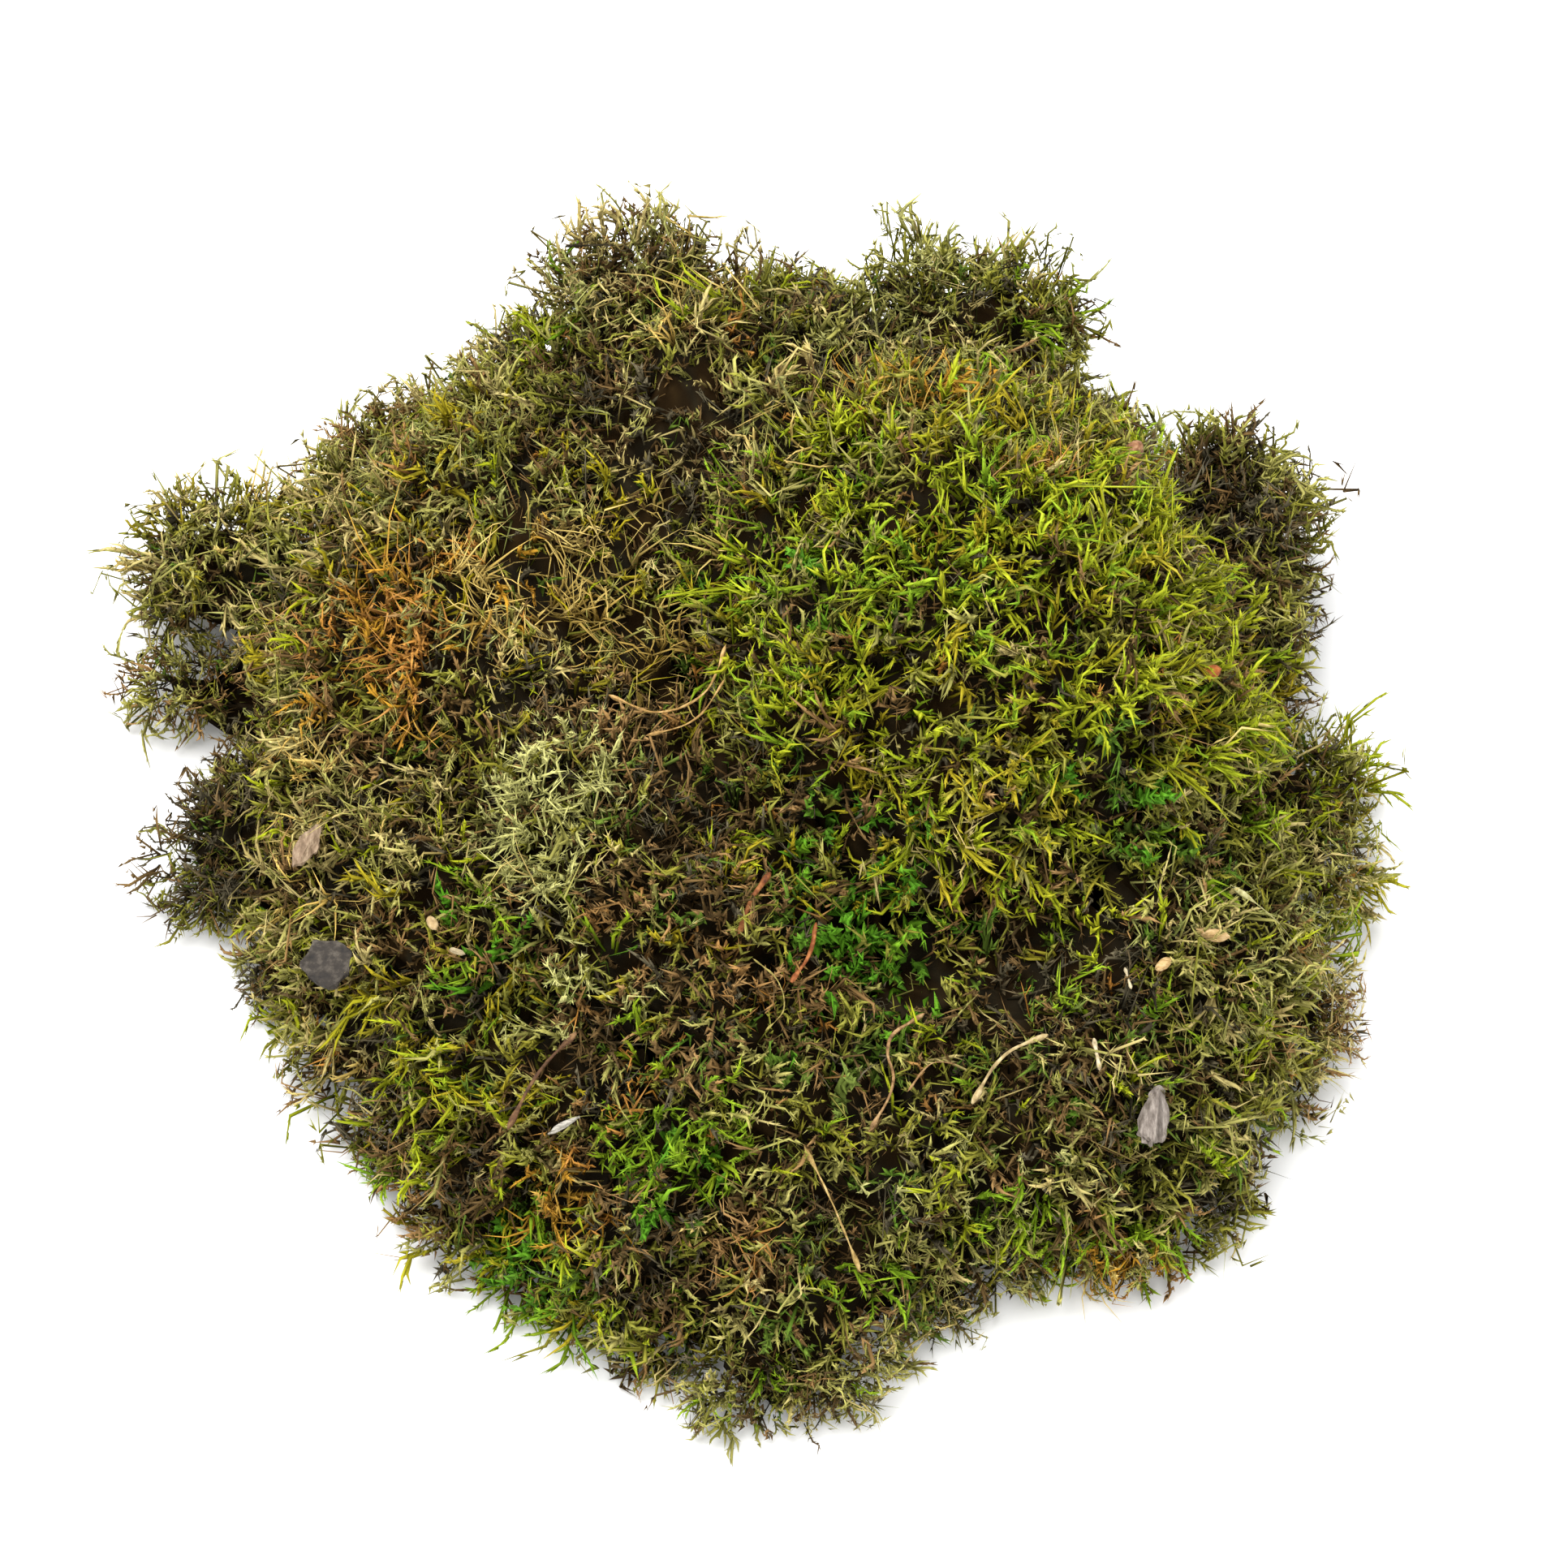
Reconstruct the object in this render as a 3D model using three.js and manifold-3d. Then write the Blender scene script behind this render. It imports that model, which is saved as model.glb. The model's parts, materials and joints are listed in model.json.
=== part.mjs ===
// A clump of woodland moss, torn up in one piece and set down on a flat surface.
// Millimetres, +Z up, the viewer's side is -Y. Each mat, lobe and tuft is one soft cushion,
// cut off flat where it rests. The litter that lies on the moss is one solid for each piece.
import * as THREE from "three";
import { mergeVertices } from "three/addons/utils/BufferGeometryUtils.js";
import Module from "manifold-3d";

const wasm = await Module();
wasm.setup();

// ---- driving dimensions, mm ----
const CLUMP_HEIGHT = 82; // top of the crown above the floor
const RIM_HEIGHT = 3; // height of the upright edge all round the mound
const GAP = 0.35; // between neighbours that press on each other
const FULLNESS = 2.35; // of a lobe: 2 is an ellipsoid, more is a boxier cushion
const LUMP = 0.075; // how far the lumps stand out, as a share of the radius
const MERGE = 5; // how sharply one mat's rise gives way to the next: higher is a deeper fold
const RAYS = 22; // facets round a mat
const RINGS = 5; // facets from a mat's middle to its edge
const SETTLE_STEP = 0.25; // how finely a loose piece is let down on the moss
const SETTLE_FROM = 30; // it starts this far above
const CUT_OVER = 4; // how far a cutting copy of a mat goes past its top and its base
const STEM_SIDES = 5;
const STEM_STEPS = 2; // lengths of a stem between two of its points

// How far the mound reaches from its middle, every 15 degrees from +X round to +Y.
const MIDDLE = [-2, 4];
const REACH = [
  88, 90, 95, 102, 105, 104, 103, 108, 110, 106, 101, 95,
  91, 89, 87, 88, 93, 97, 95, 90, 91, 100, 99, 93,
];

// ---- colours ----
const COLOURS = {
  crown_moss: 0x7c8222,
  olive_moss: 0x5c5a2a,
  tan_moss: 0x8a7d44,
  dark_moss: 0x3f3e26,
  pale_moss: 0x9aa06a,
  brown_moss: 0x5e4c30,
  bark: 0x6a675c,
  twig: 0x6e5136,
  dry_leaf: 0xa79c90,
  straw: 0xc4ac78,
};

// ---- the moss ----
// Mats make up the mound. at: the mat's middle; half: how far its rise spreads; rise: its
// height; turn: degrees about +Z.
const MATS = [
  { name: "crown_mat", slot: "crown_moss", at: [31, 20], half: [58, 56], rise: CLUMP_HEIGHT, turn: -8 },
  { name: "back_mat", slot: "olive_moss", at: [2, 72], half: [72, 58], rise: 62, turn: 3 },
  { name: "left_shoulder_mat", slot: "tan_moss", at: [-52, 40], half: [54, 52], rise: 55, turn: 16 },
  { name: "centre_mat", slot: "dark_moss", at: [-14, -16], half: [50, 52], rise: 57, turn: 0 },
  { name: "left_flank_mat", slot: "tan_moss", at: [-58, -8], half: [44, 46], rise: 45, turn: 8 },
  { name: "right_flank_mat", slot: "olive_moss", at: [70, -12], half: [36, 46], rise: 48, turn: 6 },
  { name: "front_right_mat", slot: "olive_moss", at: [46, -44], half: [46, 44], rise: 43, turn: 12 },
  { name: "front_left_mat", slot: "olive_moss", at: [-42, -46], half: [44, 46], rise: 37, turn: 24 },
  { name: "front_mat", slot: "olive_moss", at: [-1, -62], half: [46, 46], rise: 37, turn: 0 },
];
// Lobes and tufts push out of the mound. at: middle; half: half the width, depth and height;
// turn: degrees about +Z; lean: degrees it tips towards the viewer; seed: which lumps it gets.
const LOBES = [
  { name: "pale_tuft", slot: "pale_moss", at: [-32, -19, 39.5], half: [15, 24, 13.5],
    turn: 20, lean: 30, seed: 3, detail: 3 },
  { name: "back_left_tuft", slot: "tan_moss", at: [-24, 87, 44], half: [18, 14, 13],
    turn: 8, lean: -8, seed: 5, detail: 2 },
  { name: "back_right_tuft", slot: "pale_moss", at: [30, 86, 42], half: [22, 13, 12],
    turn: -10, lean: -6, seed: 8, detail: 2 },
  { name: "left_brown_bump", slot: "brown_moss", at: [-64, 74, 17], half: [14, 12, 12],
    turn: 20, lean: 0, seed: 11, detail: 2 },
  { name: "front_tongue", slot: "dark_moss", at: [0, -85, 4], half: [17, 14, 11],
    turn: -6, lean: 0, seed: 14, detail: 2 },
  { name: "front_tan_lobe", slot: "tan_moss", at: [50, -64, 5], half: [13, 11, 10],
    turn: 14, lean: 0, seed: 15, detail: 2 },
  { name: "front_small_tuft", slot: "olive_moss", at: [25, -76, 3.5], half: [7, 7, 6],
    turn: 0, lean: 0, seed: 16, detail: 2 },
  { name: "right_dark_lobe", slot: "dark_moss", at: [72, 53, 12], half: [19, 27, 21],
    turn: -4, lean: 0, seed: 17, detail: 2 },
  { name: "right_frond_lobe", slot: "olive_moss", at: [86, 7, 7], half: [13, 18, 13],
    turn: 0, lean: 0, seed: 18, detail: 2 },
  { name: "right_brown_lobe", slot: "brown_moss", at: [82, -27, 5], half: [9, 9, 9],
    turn: 0, lean: 0, seed: 19, detail: 2 },
  { name: "left_upper_lobe", slot: "olive_moss", at: [-95, 56, 13], half: [17, 13, 12],
    turn: 18, lean: 0, seed: 20, detail: 2 },
  { name: "left_middle_lobe", slot: "brown_moss", at: [-95, 36, 7], half: [13, 9, 9],
    turn: -4, lean: 0, seed: 21, detail: 2 },
  { name: "left_dark_lobe", slot: "dark_moss", at: [-89, 7, 8], half: [13, 20, 12],
    turn: -8, lean: 0, seed: 22, detail: 2 },
  { name: "left_low_lobe", slot: "dark_moss", at: [-82, -19, 5], half: [8, 8, 8],
    turn: 0, lean: 0, seed: 23, detail: 2 },
];

// ---- the litter ----
// Stems and twigs: the middle line as points across the moss, and the radius.
const STEMS = [
  { name: "brown_twig", slot: "twig", radius: 0.55, path: [[-43, -60], [-38, -53], [-32, -49]] },
  { name: "rust_strip_1", slot: "twig", radius: 0.6, path: [[-7, -37], [-5, -32], [-2, -27]] },
  { name: "rust_strip_2", slot: "twig", radius: 0.55, path: [[1, -43], [4, -38], [5, -33]] },
  { name: "dry_stem", slot: "straw", radius: 0.45, path: [[13, -62], [17, -55], [16, -49], [22, -44]] },
  { name: "dry_side_stem", slot: "straw", radius: 0.35, path: [[19, -56], [23, -52], [27, -52]] },
  { name: "pale_twig", slot: "twig", radius: 0.5, path: [[29, -58], [34, -51], [41, -48]] },
  { name: "tan_long_stem", slot: "straw", radius: 0.4, path: [[3, -64], [7, -71], [12, -80]] },
  { name: "curly_stalk", slot: "straw", radius: 0.35,
    path: [[-5, -40], [-1, -43], [0, -47], [-3, -50]] },
  { name: "curved_stem_1", slot: "straw", radius: 0.4, path: [[-28, 8], [-20, 3], [-12, 3], [-9, 10]] },
  { name: "curved_stem_2", slot: "straw", radius: 0.35, path: [[-22, -3], [-14, -1], [-9, 4]] },
  { name: "straw_thread", slot: "straw", radius: 0.3, path: [[70, -22], [78, -24], [86, -26]] },
  { name: "pale_needle_1", slot: "straw", radius: 0.45, path: [[48, -48], [49, -53]] },
  { name: "pale_needle_2", slot: "straw", radius: 0.4, path: [[53, -37], [54, -41]] },
];
// Flat pieces: corners of the outline, its half length and half width, the thickness, the curl,
// and how they lie.
const FLAKES = [
  { name: "bark_flake", slot: "bark", at: [-72, -31], corners: 7,
    half: [4.3, 3.7], thick: 1.1, curl: 0.1, point: 0.2, turn: 20, tip: 6 },
  { name: "pointed_leaf", slot: "dry_leaf", at: [-76, -12], corners: 12,
    half: [4.4, 1.7], thick: 0.6, curl: 0.25, point: 1, turn: 66, tip: 12 },
  { name: "curled_leaf", slot: "dry_leaf", at: [57, -59], corners: 12,
    half: [5.2, 2.2], thick: 0.6, curl: 0.5, point: 0.7, turn: 80, tip: 10 },
  { name: "white_splinter", slot: "straw", at: [-34, -61], corners: 12,
    half: [3.2, 0.6], thick: 0.6, curl: 0, point: 0.5, turn: 32, tip: 4 },
  { name: "pale_chip", slot: "straw", at: [-51, -34], corners: 12,
    half: [1.5, 0.5], thick: 0.6, curl: 0, point: 0.4, turn: -20, tip: 0 },
  { name: "pale_seed", slot: "straw", at: [-55, -29], corners: 12,
    half: [1.4, 0.7], thick: 0.9, curl: 0, point: 0.8, turn: -60, tip: 0 },
  { name: "tan_husk_1", slot: "straw", at: [67, -31], corners: 12,
    half: [2.9, 1], thick: 0.7, curl: 0.2, point: 0.9, turn: -14, tip: 0 },
  { name: "tan_husk_2", slot: "straw", at: [59, -37], corners: 12,
    half: [1.8, 0.8], thick: 0.7, curl: 0.1, point: 0.8, turn: 40, tip: 0 },
  { name: "cone_scale", slot: "twig", at: [56, 47], corners: 12,
    half: [1.9, 1.4], thick: 0.8, curl: 0.3, point: 0.6, turn: 50, tip: 0 },
  { name: "orange_flake", slot: "twig", at: [67, 6], corners: 12,
    half: [1.7, 1.1], thick: 0.6, curl: 0.2, point: 0.4, turn: 10, tip: 0 },
];

function radians(degrees) {
  return (degrees * Math.PI) / 180;
}

function solidFrom(geometry) {
  const bare = geometry.clone();
  bare.deleteAttribute("normal");
  bare.deleteAttribute("uv");
  const merged = mergeVertices(bare, 1e-4);
  return new wasm.Manifold(
    new wasm.Mesh({
      numProp: 3,
      vertProperties: merged.attributes.position.array,
      triVerts: new Uint32Array(merged.index.array),
    }),
  );
}

function geometryFrom(solid) {
  const mesh = solid.getMesh();
  const points = [];
  for (let i = 0; i < mesh.numVert; i += 1) {
    points.push(...mesh.vertProperties.subarray(i * mesh.numProp, i * mesh.numProp + 3));
  }
  const geometry = new THREE.BufferGeometry();
  geometry.setAttribute("position", new THREE.Float32BufferAttribute(points, 3));
  geometry.setIndex(Array.from(mesh.triVerts));
  geometry.computeVertexNormals();
  return geometry;
}

// Soft lumps over a cushion, as a share of its radius.
function lumps(dir, seed) {
  const a = Math.sin(2.7 * dir.x + 1.9 * seed) * Math.cos(3.1 * dir.y - 1.3 * seed);
  const b = Math.sin(4.9 * dir.y + 2.3 * seed + 2.2 * dir.z) * Math.cos(5.3 * dir.x + seed);
  const c = Math.sin(8.3 * dir.x - 7.1 * dir.y + 3.7 * seed) * Math.cos(7.7 * dir.z + seed);
  return LUMP * (a + 0.7 * b + 0.45 * c);
}

// One lobe, larger all round by the given margin, cut off flat at the floor.
function lobeSolid(spec, margin) {
  const ball = new THREE.IcosahedronGeometry(1, spec.detail);
  const [halfX, halfY, halfZ] = spec.half;
  const place = new THREE.Matrix4().makeRotationFromEuler(
    new THREE.Euler(radians(spec.lean), 0, radians(spec.turn), "ZYX"),
  );
  const position = ball.attributes.position;
  const dir = new THREE.Vector3();
  for (let i = 0; i < position.count; i += 1) {
    dir.fromBufferAttribute(position, i).normalize();
    const sum =
      Math.abs(dir.x) ** FULLNESS + Math.abs(dir.y) ** FULLNESS + Math.abs(dir.z) ** FULLNESS;
    const reach = (1 + lumps(dir, spec.seed)) / sum ** (1 / FULLNESS);
    dir.set(
      dir.x * (halfX * reach + margin),
      dir.y * (halfY * reach + margin),
      dir.z * (halfZ * reach + margin),
    );
    dir.applyMatrix4(place);
    position.setXYZ(i, dir.x + spec.at[0], dir.y + spec.at[1], dir.z + spec.at[2]);
  }
  return solidFrom(ball).trimByPlane([0, 0, 1], 0);
}

// How far the mound reaches from its middle in a direction, smooth between the given reaches.
function moundReach(angle) {
  const turns = ((angle / (2 * Math.PI)) % 1 + 1) % 1;
  const step = turns * REACH.length;
  const from = Math.floor(step) % REACH.length;
  const to = (from + 1) % REACH.length;
  const t = step - Math.floor(step);
  const ease = t * t * (3 - 2 * t);
  return REACH[from] * (1 - ease) + REACH[to] * ease;
}

// 1 over the mound, falling steeply to 0 at its outline.
function moundEdge(x, y) {
  const dx = x - MIDDLE[0];
  const dy = y - MIDDLE[1];
  const share = Math.hypot(dx, dy) / moundReach(Math.atan2(dy, dx));
  return share >= 1 ? 0 : (1 - share ** 7) ** 0.5;
}

// One mat's own rise at a point.
function matRise(spec, x, y) {
  const turn = radians(-spec.turn);
  const dx = x - spec.at[0];
  const dy = y - spec.at[1];
  const u = (dx * Math.cos(turn) - dy * Math.sin(turn)) / spec.half[0];
  const v = (dx * Math.sin(turn) + dy * Math.cos(turn)) / spec.half[1];
  const share = Math.hypot(u, v);
  return share >= 1 ? 0 : spec.rise * (1 - share ** 2.2) ** 0.55;
}

// Height of the mound, with its soft lumps.
function moundHeight(x, y) {
  const sum = MATS.reduce((total, spec) => total + matRise(spec, x, y) ** MERGE, 0);
  const swell =
    0.035 * Math.sin(0.11 * x + 0.6) * Math.cos(0.13 * y - 0.4) +
    0.025 * Math.sin(0.23 * y + 0.17 * x) * Math.cos(0.21 * x - 1.1);
  return sum ** (1 / MERGE) * moundEdge(x, y) * (1 + swell);
}

function owns(spec, x, y) {
  const own = matRise(spec, x, y);
  return MATS.every((other) => other === spec || matRise(other, x, y) <= own);
}

// How far a mat goes in a direction: to its neighbour, or to the mound's edge.
function matReach(spec, angle) {
  const step = 0.25;
  let reach = step;
  while (reach < 2 * CLUMP_HEIGHT) {
    const x = spec.at[0] + reach * Math.cos(angle);
    const y = spec.at[1] + reach * Math.sin(angle);
    if (!owns(spec, x, y) || moundHeight(x, y) < RIM_HEIGHT) break;
    reach += step;
  }
  return reach;
}

// One mat: the mound's surface above, upright sides against its neighbours, flat below. It is
// a globe whose rows become the rings of the top, the foot of the sides and the middle of the
// base. A margin makes it wider all round, and so tall and deep that it cuts right through.
function matSolid(spec, margin) {
  const over = margin > 0 ? CUT_OVER : 0;
  const globe = new THREE.SphereGeometry(1, RAYS, RINGS + 2);
  const position = globe.attributes.position;
  for (let i = 0; i < position.count; i += 1) {
    const ring = Math.floor(i / (RAYS + 1));
    const angle = (2 * Math.PI * (i % (RAYS + 1) % RAYS)) / RAYS;
    const share = ring > RINGS + 1 ? 0 : Math.sin((0.5 * Math.PI * Math.min(ring, RINGS)) / RINGS);
    const out = share * (matReach(spec, angle) + margin);
    const x = spec.at[0] + out * Math.cos(angle);
    const y = spec.at[1] + out * Math.sin(angle);
    const top = Math.max(moundHeight(x, y), RIM_HEIGHT * 0.8) + over;
    position.setXYZ(i, x, y, ring > RINGS ? -over : top);
  }
  return solidFrom(globe);
}

function largestBody(solid) {
  return solid.decompose().reduce((best, body) => (body.volume() > best.volume() ? body : best));
}

// The lobes in order, then the mats. Each is cut back by those before it, with a small gap.
function mossSolids() {
  const cutters = [];
  const pieces = [];
  for (const [list, make] of [[LOBES, lobeSolid], [MATS, matSolid]]) {
    for (const spec of list) {
      let solid = make(spec, 0);
      for (const cutter of cutters) solid = solid.subtract(cutter);
      pieces.push({ spec, solid: largestBody(solid) });
      cutters.push(make(spec, GAP));
    }
  }
  return pieces;
}

// A flat piece with a rounded, more or less pointed outline, curled along its length.
function flakeGeometry(spec) {
  const [halfLength, halfWidth] = spec.half;
  const outline = new THREE.Shape();
  for (let i = 0; i < spec.corners; i += 1) {
    const angle = (2 * Math.PI * i) / spec.corners;
    const pinch = 1 - spec.point * Math.abs(Math.cos(angle)) ** 3 * 0.75;
    const ragged = 1 + 0.06 * Math.sin(5 * angle + halfLength);
    const x = halfLength * Math.cos(angle) * ragged;
    const y = halfWidth * Math.sin(angle) * pinch * ragged;
    if (i === 0) outline.moveTo(x, y);
    else outline.lineTo(x, y);
  }
  outline.closePath();
  const flake = new THREE.ExtrudeGeometry(outline, { depth: spec.thick, bevelEnabled: false });
  const position = flake.attributes.position;
  for (let i = 0; i < position.count; i += 1) {
    const x = position.getX(i);
    position.setZ(i, position.getZ(i) + (spec.curl * x * x) / halfLength);
  }
  flake.rotateX(radians(spec.tip));
  flake.rotateZ(radians(spec.turn));
  return flake;
}

// A round stem along its middle line, with closed ends.
function stemGeometry(points, radius) {
  const section = new THREE.Shape();
  for (let i = 0; i < STEM_SIDES; i += 1) {
    const angle = (2 * Math.PI * i) / STEM_SIDES;
    const x = radius * Math.cos(angle);
    const y = radius * Math.sin(angle);
    if (i === 0) section.moveTo(x, y);
    else section.lineTo(x, y);
  }
  section.closePath();
  return new THREE.ExtrudeGeometry(section, {
    steps: STEM_STEPS * (points.length - 1) + 1,
    bevelEnabled: false,
    extrudePath: new THREE.CatmullRomCurve3(points),
  });
}

// Height of the moss near a point, from above. It looks a little to each side as well, so
// that a fold between two mats doesn't count as a hole.
function surfaceHeight(moss, x, y) {
  const heights = [[0, 0], [1, 0], [-1, 0], [0, 1], [0, -1]].map(([dx, dy]) => {
    const start = new THREE.Vector3(x + dx, y + dy, 2 * CLUMP_HEIGHT);
    const down = new THREE.Raycaster(start, new THREE.Vector3(0, 0, -1));
    const hits = down.intersectObjects(moss, false);
    return hits.length ? hits[0].point.z : 0;
  });
  return Math.max(...heights);
}

// Lets a loose piece down until the next step would press it into the moss.
function settle(solid, under) {
  let lift = SETTLE_FROM;
  while (lift > -SETTLE_FROM) {
    const lower = solid.translate([0, 0, lift - SETTLE_STEP]);
    if (under.some((other) => other.intersect(lower).volume() > 0)) break;
    lift -= SETTLE_STEP;
  }
  return solid.translate([0, 0, lift]);
}

function addMesh(parent, name, slot, solid) {
  const material = new THREE.MeshStandardMaterial({
    name: slot,
    color: COLOURS[slot],
    roughness: 0.9,
    metalness: 0,
  });
  const mesh = new THREE.Mesh(geometryFrom(solid), material);
  mesh.name = name;
  parent.add(mesh);
  return mesh;
}

function addMoss(parent) {
  const pieces = mossSolids();
  const meshes = pieces.map(({ spec, solid }) => addMesh(parent, spec.name, spec.slot, solid));
  return { meshes, solids: pieces.map(({ solid }) => solid) };
}

function addLitter(parent, moss) {
  const under = [...moss.solids];
  for (const spec of STEMS) {
    const points = spec.path.map(
      ([x, y]) => new THREE.Vector3(x, y, surfaceHeight(moss.meshes, x, y) + spec.radius),
    );
    const solid = settle(solidFrom(stemGeometry(points, spec.radius)), under);
    under.push(solid);
    addMesh(parent, spec.name, spec.slot, solid);
  }
  for (const spec of FLAKES) {
    const [x, y] = spec.at;
    const flake = flakeGeometry(spec).translate(x, y, surfaceHeight(moss.meshes, x, y));
    const solid = settle(solidFrom(flake), under);
    under.push(solid);
    addMesh(parent, spec.name, spec.slot, solid);
  }
}

const clump = new THREE.Group();
clump.name = "moss_clump";
const moss = addMoss(clump);
addLitter(clump, moss);

// The origin is the middle of the clump's box, on the floor.
const box = new THREE.Box3().setFromObject(clump);
const middle = box.getCenter(new THREE.Vector3());
clump.position.set(-middle.x, -middle.y, -box.min.z);

export default clump;
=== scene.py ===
import json
import math

import bmesh
import bpy
import numpy as np
from mathutils import Matrix, Vector
from mathutils.bvhtree import BVHTree


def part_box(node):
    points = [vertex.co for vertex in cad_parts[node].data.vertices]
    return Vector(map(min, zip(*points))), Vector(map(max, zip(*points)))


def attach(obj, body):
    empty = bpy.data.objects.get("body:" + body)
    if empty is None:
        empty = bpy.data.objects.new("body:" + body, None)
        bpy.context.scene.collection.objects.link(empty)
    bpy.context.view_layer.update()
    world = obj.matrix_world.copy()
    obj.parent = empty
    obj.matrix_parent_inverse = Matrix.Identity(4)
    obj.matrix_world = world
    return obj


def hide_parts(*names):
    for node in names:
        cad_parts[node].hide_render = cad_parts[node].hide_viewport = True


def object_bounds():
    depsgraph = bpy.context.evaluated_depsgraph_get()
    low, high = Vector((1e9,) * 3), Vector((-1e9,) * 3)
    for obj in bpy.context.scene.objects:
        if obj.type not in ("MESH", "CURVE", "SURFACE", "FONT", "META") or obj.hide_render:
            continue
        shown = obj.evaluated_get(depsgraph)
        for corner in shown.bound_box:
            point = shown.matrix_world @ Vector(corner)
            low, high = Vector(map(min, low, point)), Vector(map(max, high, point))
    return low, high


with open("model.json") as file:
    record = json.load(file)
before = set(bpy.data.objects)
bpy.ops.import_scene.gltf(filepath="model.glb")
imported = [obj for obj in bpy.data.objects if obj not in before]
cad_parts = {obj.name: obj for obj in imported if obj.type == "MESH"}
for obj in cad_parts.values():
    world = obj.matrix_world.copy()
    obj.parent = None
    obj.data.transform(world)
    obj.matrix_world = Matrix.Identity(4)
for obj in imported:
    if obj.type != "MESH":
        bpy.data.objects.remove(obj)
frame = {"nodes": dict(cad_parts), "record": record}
CAD_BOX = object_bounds()
MM = 0.001
FLOOR_CLEAR = 0.2 * MM
HIGHEST_TIP = CAD_BOX[1][2] + 7 * MM
rng = np.random.default_rng(7)


# ---- colours ---------------------------------------------------------------------------------
# Each tone of moss has a root colour and a tip colour. The dark root colours are partly the browner
# base of the stems and partly painted shade deep in the moss. Neighbours in this list are alike, so
# a shoot may stray a little to either side.
TONES = {
    "charcoal": ("1b1811", "70674e"),
    "dark_brown": ("20160a", "7c6238"),
    "earth": ("3a2812", "b48e58"),
    "rust": ("6c4416", "d89a48"),
    "orange": ("604410", "d8a230"),
    "straw": ("745e22", "eed078"),
    "tan": ("584a26", "d6c47e"),
    "khaki": ("44421c", "c2bc66"),
    "olive": ("30300c", "a09e3c"),
    "mustard": ("463e06", "beac24"),
    "yellow_green": ("404806", "bec624"),
    "lime": ("2e4206", "9cba24"),
    "emerald": ("243e06", "68ac24"),
    "deep_green": ("1e280a", "728e2e"),
    "grey_green": ("40401c", "b2b266"),
    "pale_lichen": ("66662e", "dcd888"),
}
TONE_NAMES = list(TONES)
TONE_AT = {name: (i + 0.5) / len(TONES) for i, name in enumerate(TONES)}


def linear(hex_colour):
    channels = [int(hex_colour[i:i + 2], 16) / 255 for i in (0, 2, 4)]
    return [c / 12.92 if c <= 0.04045 else ((c + 0.055) / 1.055) ** 2.4 for c in channels]


def new_material(name, specular=0.3):
    material = bpy.data.materials.new(name)
    material.use_nodes = True
    nodes = material.node_tree.nodes
    nodes["Principled BSDF"].inputs["Specular IOR Level"].default_value = specular
    return material, nodes, material.node_tree.links


def colour_ramp(nodes, stops):
    """A ramp with the given (place, colour) stops."""
    ramp = nodes.new("ShaderNodeValToRGB")
    elements = ramp.color_ramp.elements
    elements.remove(elements[1])
    elements[0].position = stops[0][0]
    elements[0].color = (*linear(stops[0][1]), 1)
    for place, colour in stops[1:]:
        elements.new(place).color = (*linear(colour), 1)
    return ramp


LEAF_GRAIN = 2600
LEAF_RELIEF = 0.35
LEAF_RELIEF_DEPTH = 0.2 * MM
ROOT_ROUGHNESS = 0.95
ROOT_SHINE = 0.02


def add_bump(nodes, links, scale, strength, distance):
    """Fine relief from noise on Object coordinates."""
    coords = nodes.new("ShaderNodeTexCoord")
    noise = nodes.new("ShaderNodeTexNoise")
    noise.inputs["Scale"].default_value = scale
    noise.inputs["Detail"].default_value = 3
    bump = nodes.new("ShaderNodeBump")
    bump.inputs["Strength"].default_value = strength
    bump.inputs["Distance"].default_value = distance
    links.new(coords.outputs["Object"], noise.inputs["Vector"])
    links.new(noise.outputs["Fac"], bump.inputs["Height"])
    links.new(bump.outputs["Normal"], nodes["Principled BSDF"].inputs["Normal"])


def attribute_value(nodes, name):
    """The value that the mesh stores under a name."""
    node = nodes.new("ShaderNodeAttribute")
    node.attribute_name = name
    return node.outputs["Fac"]


def ranged(nodes, links, value, low, high):
    """A value from 0 to 1, spread from low to high."""
    spread = nodes.new("ShaderNodeMapRange")
    spread.inputs["To Min"].default_value = low
    spread.inputs["To Max"].default_value = high
    links.new(value, spread.inputs["Value"])
    return spread.outputs["Result"]


def moss_material(name, tip_roughness, tip_shine):
    """Moss: the tone picks the colour, and the shade takes it from root to tip; the dark root end is
    partly painted shade.
    """
    material, nodes, links = new_material(name)
    shader = nodes["Principled BSDF"]
    tone = attribute_value(nodes, "tone")
    shade = attribute_value(nodes, "shade")
    roots = colour_ramp(nodes, [(TONE_AT[n], TONES[n][0]) for n in TONE_NAMES])
    tips = colour_ramp(nodes, [(TONE_AT[n], TONES[n][1]) for n in TONE_NAMES])
    mix = nodes.new("ShaderNodeMix")
    mix.data_type = "RGBA"
    links.new(tone, roots.inputs["Fac"])
    links.new(tone, tips.inputs["Fac"])
    links.new(shade, mix.inputs["Factor"])
    links.new(roots.outputs["Color"], mix.inputs[6])
    links.new(tips.outputs["Color"], mix.inputs[7])
    links.new(mix.outputs[2], shader.inputs["Base Color"])
    roughness = ranged(nodes, links, shade, ROOT_ROUGHNESS, tip_roughness)
    shine = ranged(nodes, links, shade, ROOT_SHINE, tip_shine)
    links.new(roughness, shader.inputs["Roughness"])
    links.new(shine, shader.inputs["Specular IOR Level"])
    add_bump(nodes, links, LEAF_GRAIN, LEAF_RELIEF, LEAF_RELIEF_DEPTH)
    return material


LITTER_RELIEF = 0.7
LITTER_RELIEF_DEPTH = 0.3 * MM
LITTER_ROUGHNESS = (0.55, 0.9)


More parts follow.
